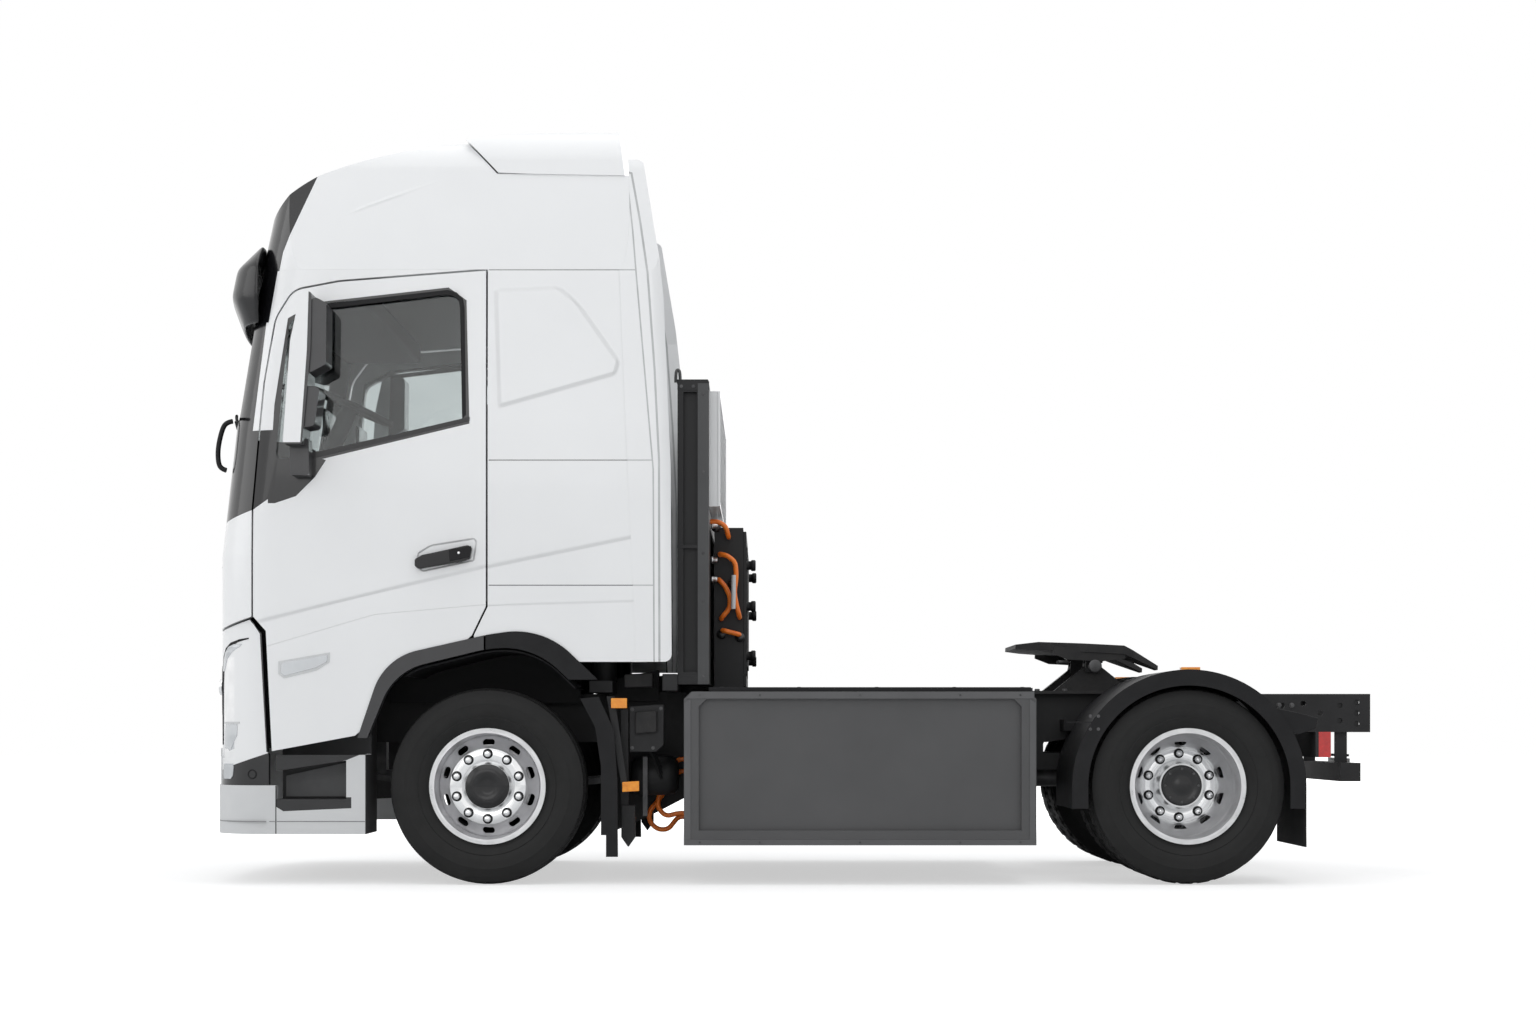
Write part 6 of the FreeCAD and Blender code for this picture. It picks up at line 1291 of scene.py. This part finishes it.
# Plain boxes on the chassis: the name, pairs of corners, the look and the bevel
CHASSIS_BOXES = (
    ("tower_lip", [((-0.634, -1.10, 2.596), (-0.470, 1.10, 2.608))], TOWER, 0.003),
    ("tower_beam", [((-0.705, -1.14, 0.998), (-0.6275, 1.14, 1.085))], FRAME, 0.004),
    ("intake_backing", mirrored((-2.609, 0.45, 0.62), (-2.6028, 0.80, 0.95)), SEAL, 0.0),
    ("unit_fins", bars((-0.296, 0, 1.14), (-0.270, 0, 1.78), 1, -0.54, 0.0432, 0.010, 26), TOWER,
     0.001),
    ("unit_frames", border((-0.293, -0.276), 0.615, 0.585, (1.03, 1.09, 1.80, 1.86)), FRAME,
     0.003),
    ("cooler_louvres", bars((-0.424, -0.96, 0), (-0.414, 0.96, 0), 2, 1.985, 0.0122, 0.0035, 46),
     SILVER, 0.0),
    ("cooler_edges", border((-0.426, -0.410), 1.0, 0.97, (1.962, 1.982, 2.540, 2.560)), WHITE,
     0.002),
    ("deck_ribs", bars((-0.26, 0, 1.0118), (1.17, 0, 1.0140), 1, -1.14, 0.0616, 0.022, 38), DECK,
     0.0),
    ("rear_plate", [((3.044, -0.26, 0.540), (3.047, 0.26, 0.640))], PLATE, 0.001),
    ("rear_plate_lamps", mirrored((3.040, 0.14, 0.648), (3.056, 0.20, 0.662)), SEAL, 0.002),
)
DECK_BOLTS = [(x, y, 1.012) for x in (-0.40, 0.0, 0.4, 0.8, 1.15)
              for y in (-1.13, 1.13, -0.40, 0.40)]
SLEEVE_RUN = [(-0.345, -0.727, 1.440), (-0.343, -0.727, 1.530), (-0.343, -0.727, 1.620)]
GLAND_SPOTS = [(-0.4640, -0.66, z) for z in (1.888, 1.705, 1.600)]
UNIT_BACK = -0.292
UNIT_SIDE = -0.620
COLLAR_REAR_LIMIT = -0.31
PLUG_Y = 0.55


def add_power_unit():
    spots = [(UNIT_BACK, y, z) for x, z in photo_outline(PLUG_ROWS) for y in (-PLUG_Y, PLUG_Y)]
    lathe("unit_plugs", UNIT_PLUG, spots, (1, 0, 0), SEAL, steps=24)
    spots = [(min(x, COLLAR_REAR_LIMIT), UNIT_SIDE, z) for x, z in photo_outline(COLLAR_PLACES)]
    lathe("unit_collars", UNIT_COLLAR, spots, (0, -1, 0), STEEL, steps=20)
    bolts("deck_bolts", DECK_BOLTS, (0, 0, 1), radius=0.010, height=0.006, washer=0.014)


def add_cable_ends():
    """Silver sleeves and connectors on the high-voltage cables beside the power unit."""
    pipe("cable_sleeve", [SLEEVE_RUN], 0.012, SILVER)
    lathe("cable_glands", CABLE_GLAND, GLAND_SPOTS, (1, 0, 0), ALLOY, steps=20)


add_boxes(CHASSIS_BOXES)
add_power_unit()
add_cable_ends()


# Rear end, frame and coupling

RAIL_FACE = 0.4252
RAIL_BOLT_ROWS = (((1.06, 1.13, 1.20, 2.62, 2.69), (0.80, 0.86, 0.93)),
                  ((-2.78, -2.70, -2.62), (0.80, 0.90)))
FENDER_FACE = 1.2152
FENDER_BOLTS = ((1090, 716), (1098, 716), (1090, 729), (1098, 729))
FENDER_JOINT = (1081, 722)
FENDER_SLABS = (
    ("fender_marker", [((1181, 670.5), (1200, 670.5), (1200, 667), (1181, 667))], (1.16, 1.21),
     AMBER, 0.002),
    ("fender_wing", [((1262, 705), (1300, 713), (1318, 718), (1316, 728), (1300, 734),
                      (1284, 732))], (1.02, 1.205), BLACK, 0.003),
    ("fender_guard", [((1118, 700), (1134, 682), (1160, 675), (1186, 672.5), (1214, 675),
                       (1245, 681), (1265, 700))], (0.512, 0.520), BLACK, 0.0),
)
TAIL_FIELDS = ((RED, "brake"), (AMBER, "turn"), (LENS, "reverse"))
TAIL_START, TAIL_STEP, TAIL_WIDTH = 0.90, 0.105, 0.092
TAIL_ACROSS, TAIL_HEIGHTS = (2.720, 2.7255), (0.668, 0.774)
FLAP_RIB_COUNT, FLAP_RIB_START, FLAP_RIB_STEP, FLAP_RIB_WIDTH = 11, 0.66, 0.05, 0.012
FLAP_RIB_ACROSS, FLAP_RIB_HEIGHTS = (2.592, 2.604), (0.21, 0.385)
JOINT_HALF_LENGTH, JOINT_HALF_HEIGHT, JOINT_WIDTHS = 0.075, 0.0025, (1.213, 1.2165)
DAMPER_Y, DAMPER_FOOT = 0.475, 0.50
CLAMP_Y, CLAMP_GAP = 0.39, 0.045
CLAMP_PLACES, CLAMP_HEIGHTS = (-1.66, -1.56), (0.40, 0.50, 0.60)
BRAKE_DISC_Y, WHEEL_SHIELD_Y = 0.918, 0.960
SHOCK = [(0.0, 0.0), (0.0, 0.030), (0.26, 0.030), (0.262, 0.036), (0.40, 0.036), (0.40, 0.0)]
# Dampers: the name, the foot in x and the lean in x and z
DAMPERS = (("rear_shock", 2.20, (0.25, 0, 1)), ("front_shock", -1.70, (-0.35, 0, 1)))
BRAKE_DISC = [(-0.010, 0.09), (-0.010, 0.130), (0.010, 0.130), (0.010, 0.09)]
WHEEL_SHIELD = [(-0.003, 0.125), (-0.003, 0.242), (0.003, 0.242), (0.003, 0.125)]


def add_fender_parts(side, word):
    add_slabs(FENDER_SLABS, side, word)
    x, z = photo_place(*FENDER_JOINT)
    side_boxes("fender_joints_" + word, side,
               [((x - JOINT_HALF_LENGTH, x + JOINT_HALF_LENGTH), JOINT_WIDTHS,
                 (z - JOINT_HALF_HEIGHT, z + JOINT_HALF_HEIGHT))], SEAL)
    bolts("fender_bolts_" + word, photo_spots(side * FENDER_FACE, FENDER_BOLTS), (0, side, 0),
          radius=0.006, height=0.004, washer=0.009)
    ribs = []
    for index in range(FLAP_RIB_COUNT):
        inner = FLAP_RIB_START + index * FLAP_RIB_STEP
        ribs.append((FLAP_RIB_ACROSS, (inner, inner + FLAP_RIB_WIDTH), FLAP_RIB_HEIGHTS))
    side_boxes("flap_ribs_" + word, side, ribs, BLACK)


def add_rear_pieces():
    for side, word in SIDES:
        spots = [(x, side * RAIL_FACE, z) for across, heights in RAIL_BOLT_ROWS
                 for x in across for z in heights]
        bolts("rail_bolts_" + word, spots, (0, side, 0), radius=0.011, height=0.010, washer=0.015)
        add_fender_parts(side, word)
        for index, (look, tag) in enumerate(TAIL_FIELDS):
            inner = TAIL_START + index * TAIL_STEP
            side_boxes("tail_%s_%s" % (tag, word), side,
                       [(TAIL_ACROSS, (inner, inner + TAIL_WIDTH), TAIL_HEIGHTS)], look,
                       bevel=0.002)
        for name, x, lean in DAMPERS:
            lathe(name + "_" + word, SHOCK, [(x, side * DAMPER_Y, DAMPER_FOOT)], lean, CAST,
                  steps=24)
        clamps = [[(x, side * CLAMP_Y + gap, z) for z in CLAMP_HEIGHTS]
                  for x in CLAMP_PLACES for gap in (-CLAMP_GAP, CLAMP_GAP)]
        pipe("spring_clamps_" + word, clamps, 0.010, STEEL, resolution=4)
        lathe("brake_disc_" + word, BRAKE_DISC, [(FRONT_AXLE, side * BRAKE_DISC_Y, WHEEL_Z)],
              (0, side, 0), STEEL, "wheel_front_" + word)
        lathe("wheel_shield_" + word, WHEEL_SHIELD, [(FRONT_AXLE, side * WHEEL_SHIELD_Y, WHEEL_Z)],
              (0, side, 0), SEAL, "wheel_front_" + word)


PLATE_TOP = 1.2615
GREASE_PLACES = ((1.32, 0.40), (1.32, -0.40), (1.62, 0.43), (1.62, -0.43), (1.42, 0.30),
                 (1.42, -0.30))
GREASE_PIT = [(0.0, 0.0), (0.0, 0.013), (0.0015, 0.012), (0.0015, 0.0)]
RELEASE_RUN = [(1.50, -0.10, 1.20), (1.50, -0.30, 1.185), (1.47, -0.44, 1.165),
               (1.44, -0.52, 1.160), (1.40, -0.56, 1.160)]
BASE_BOLTS = [(x, y, 1.005) for y in (-0.47, 0.47) for x in (1.30, 1.45, 1.78, 1.93)]
PIN_CAP = [(0.0, 0.0), (0.0, 0.036), (0.010, 0.036), (0.012, 0.030), (0.012, 0.0)]
PIN_X, PIN_END, PIN_Z = 1.6155, 0.46, 1.142


def add_coupling_pieces():
    body = "fifth_wheel_plate"
    lathe("grease_pits", GREASE_PIT, [(x, y, PLATE_TOP) for x, y in GREASE_PLACES], (0, 0, 1),
          SEAL, body, steps=16)
    pipe("release_handle", [RELEASE_RUN], 0.011, STEEL, body, resolution=4)
    bolts("base_bolts", BASE_BOLTS, (0, 0, 1), radius=0.014, height=0.014, washer=0.020)
    for side, word in SIDES:
        lathe("pin_caps_" + word, PIN_CAP, [(PIN_X, side * PIN_END, PIN_Z)], (0, side, 0), STEEL,
              steps=24)


add_rear_pieces()
add_coupling_pieces()


# Camera, light and floor

CAMERA_PLACE = (-0.1765, -13.8, 0.795)
CAMERA_LENS, CAMERA_SENSOR = 57.6, 36.0
CAMERA_SHIFT = (0.002, 0.142)
SKY_TONE, SKY_STRENGTH = (0.96, 0.98, 1.0, 1.0), 0.62
FULL_WHITE = (1.0, 1.0, 1.0, 1.0)
FLOOR_SIZE, FLOOR_GLOW = 120.0, 1.6
GLOW_NEAR, GLOW_FAR, GLOW_LEAST = 4.0, 7.5, 0.35
# Lamps: the name, the place, what it faces, its width, height and power
LAMPS = (
    ("top_soft", (0.0, -1.5, 9.0), (0.0, 0.0, 1.0), 14.0, 9.0, 300.0),
    ("side_soft", (-4.0, -11.0, 6.0), (0.0, 0.0, 1.5), 9.0, 6.0, 150.0),
    ("front_soft", (-11.0, -3.0, 5.0), (-2.0, 0.0, 1.8), 6.0, 6.0, 110.0),
    ("far_soft", (3.0, 11.0, 6.0), (0.0, 0.0, 1.5), 9.0, 6.0, 130.0),
)


def make_camera():
    data = bpy.data.cameras.new("camera")
    data.sensor_width = CAMERA_SENSOR
    data.lens = CAMERA_LENS
    data.shift_x, data.shift_y = CAMERA_SHIFT
    camera = add_object("camera", data)
    camera.location = CAMERA_PLACE
    camera.rotation_euler = (math.pi / 2, 0.0, 0.0)
    bpy.context.scene.camera = camera


def make_world():
    """Soft light on the object, and plain white where camera, gloss and glass see past it."""
    world = bpy.data.worlds.new("studio")
    bpy.context.scene.world = world
    world.use_nodes = True
    tree = world.node_tree
    tree.nodes.clear()
    soft = add_node(tree, "Background", {"Color": SKY_TONE, "Strength": SKY_STRENGTH})
    white = add_node(tree, "Background", {"Color": FULL_WHITE, "Strength": 1.0})
    path = add_node(tree, "LightPath").outputs
    seen = maths(tree, "MAXIMUM", path["Is Camera Ray"], path["Is Glossy Ray"])
    seen = maths(tree, "MAXIMUM", seen, path["Is Transmission Ray"])
    mix = add_node(tree, "MixShader", {"Fac": seen, 1: soft.outputs["Background"],
                                       2: white.outputs["Background"]})
    add_node(tree, "OutputWorld", {"Surface": mix.outputs["Shader"]})


def make_lamp(name, place, target, size_x, size_y, power):
    data = bpy.data.lights.new(name, "AREA")
    data.shape = "RECTANGLE"
    data.size = size_x
    data.size_y = size_y
    data.energy = power
    item = add_object(name, data)
    item.location = place
    item.rotation_euler = (Vector(target) - item.location).to_track_quat("-Z", "Y").to_euler()


def make_floor():
    """A pale floor that keeps the object's shadow near it and turns plain white away from it."""
    bpy.ops.mesh.primitive_plane_add(size=FLOOR_SIZE, location=(0.0, 0.0, 0.0))
    floor = bpy.context.object
    floor.name = "floor"
    made, tree, shader = new_material("floor_white")
    connect(tree, shader, {"Base Color": ramp(tree, noise(tree, 0.4, 2.0), (0.90, 0.90, 0.90),
                                              (0.92, 0.92, 0.92)),
                           "Roughness": 0.9, "Specular IOR Level": 0.1})
    glow = add_node(tree, "Emission", {"Color": FULL_WHITE, "Strength": FLOOR_GLOW})
    far = add_node(tree, "MapRange", {"Value": vector_maths(tree, "LENGTH", "Value",
                                                            own_place(tree)),
                                      "From Min": GLOW_NEAR, "From Max": GLOW_FAR,
                                      "To Min": GLOW_LEAST, "To Max": 1.0},
                   interpolation_type="SMOOTHSTEP")
    path = add_node(tree, "LightPath").outputs
    share = maths(tree, "MULTIPLY", path["Is Camera Ray"], far.outputs["Result"])
    mix = add_node(tree, "MixShader", {"Fac": share, 1: shader.outputs["BSDF"],
                                       2: glow.outputs["Emission"]})
    output = [item for item in tree.nodes if item.type == "OUTPUT_MATERIAL"][0]
    connect(tree, output, {"Surface": mix.outputs["Shader"]})
    floor.data.materials.append(made)


make_camera()
make_world()
make_floor()
for lamp in LAMPS:
    make_lamp(*lamp)
bpy.context.scene.view_settings.view_transform = "Standard"
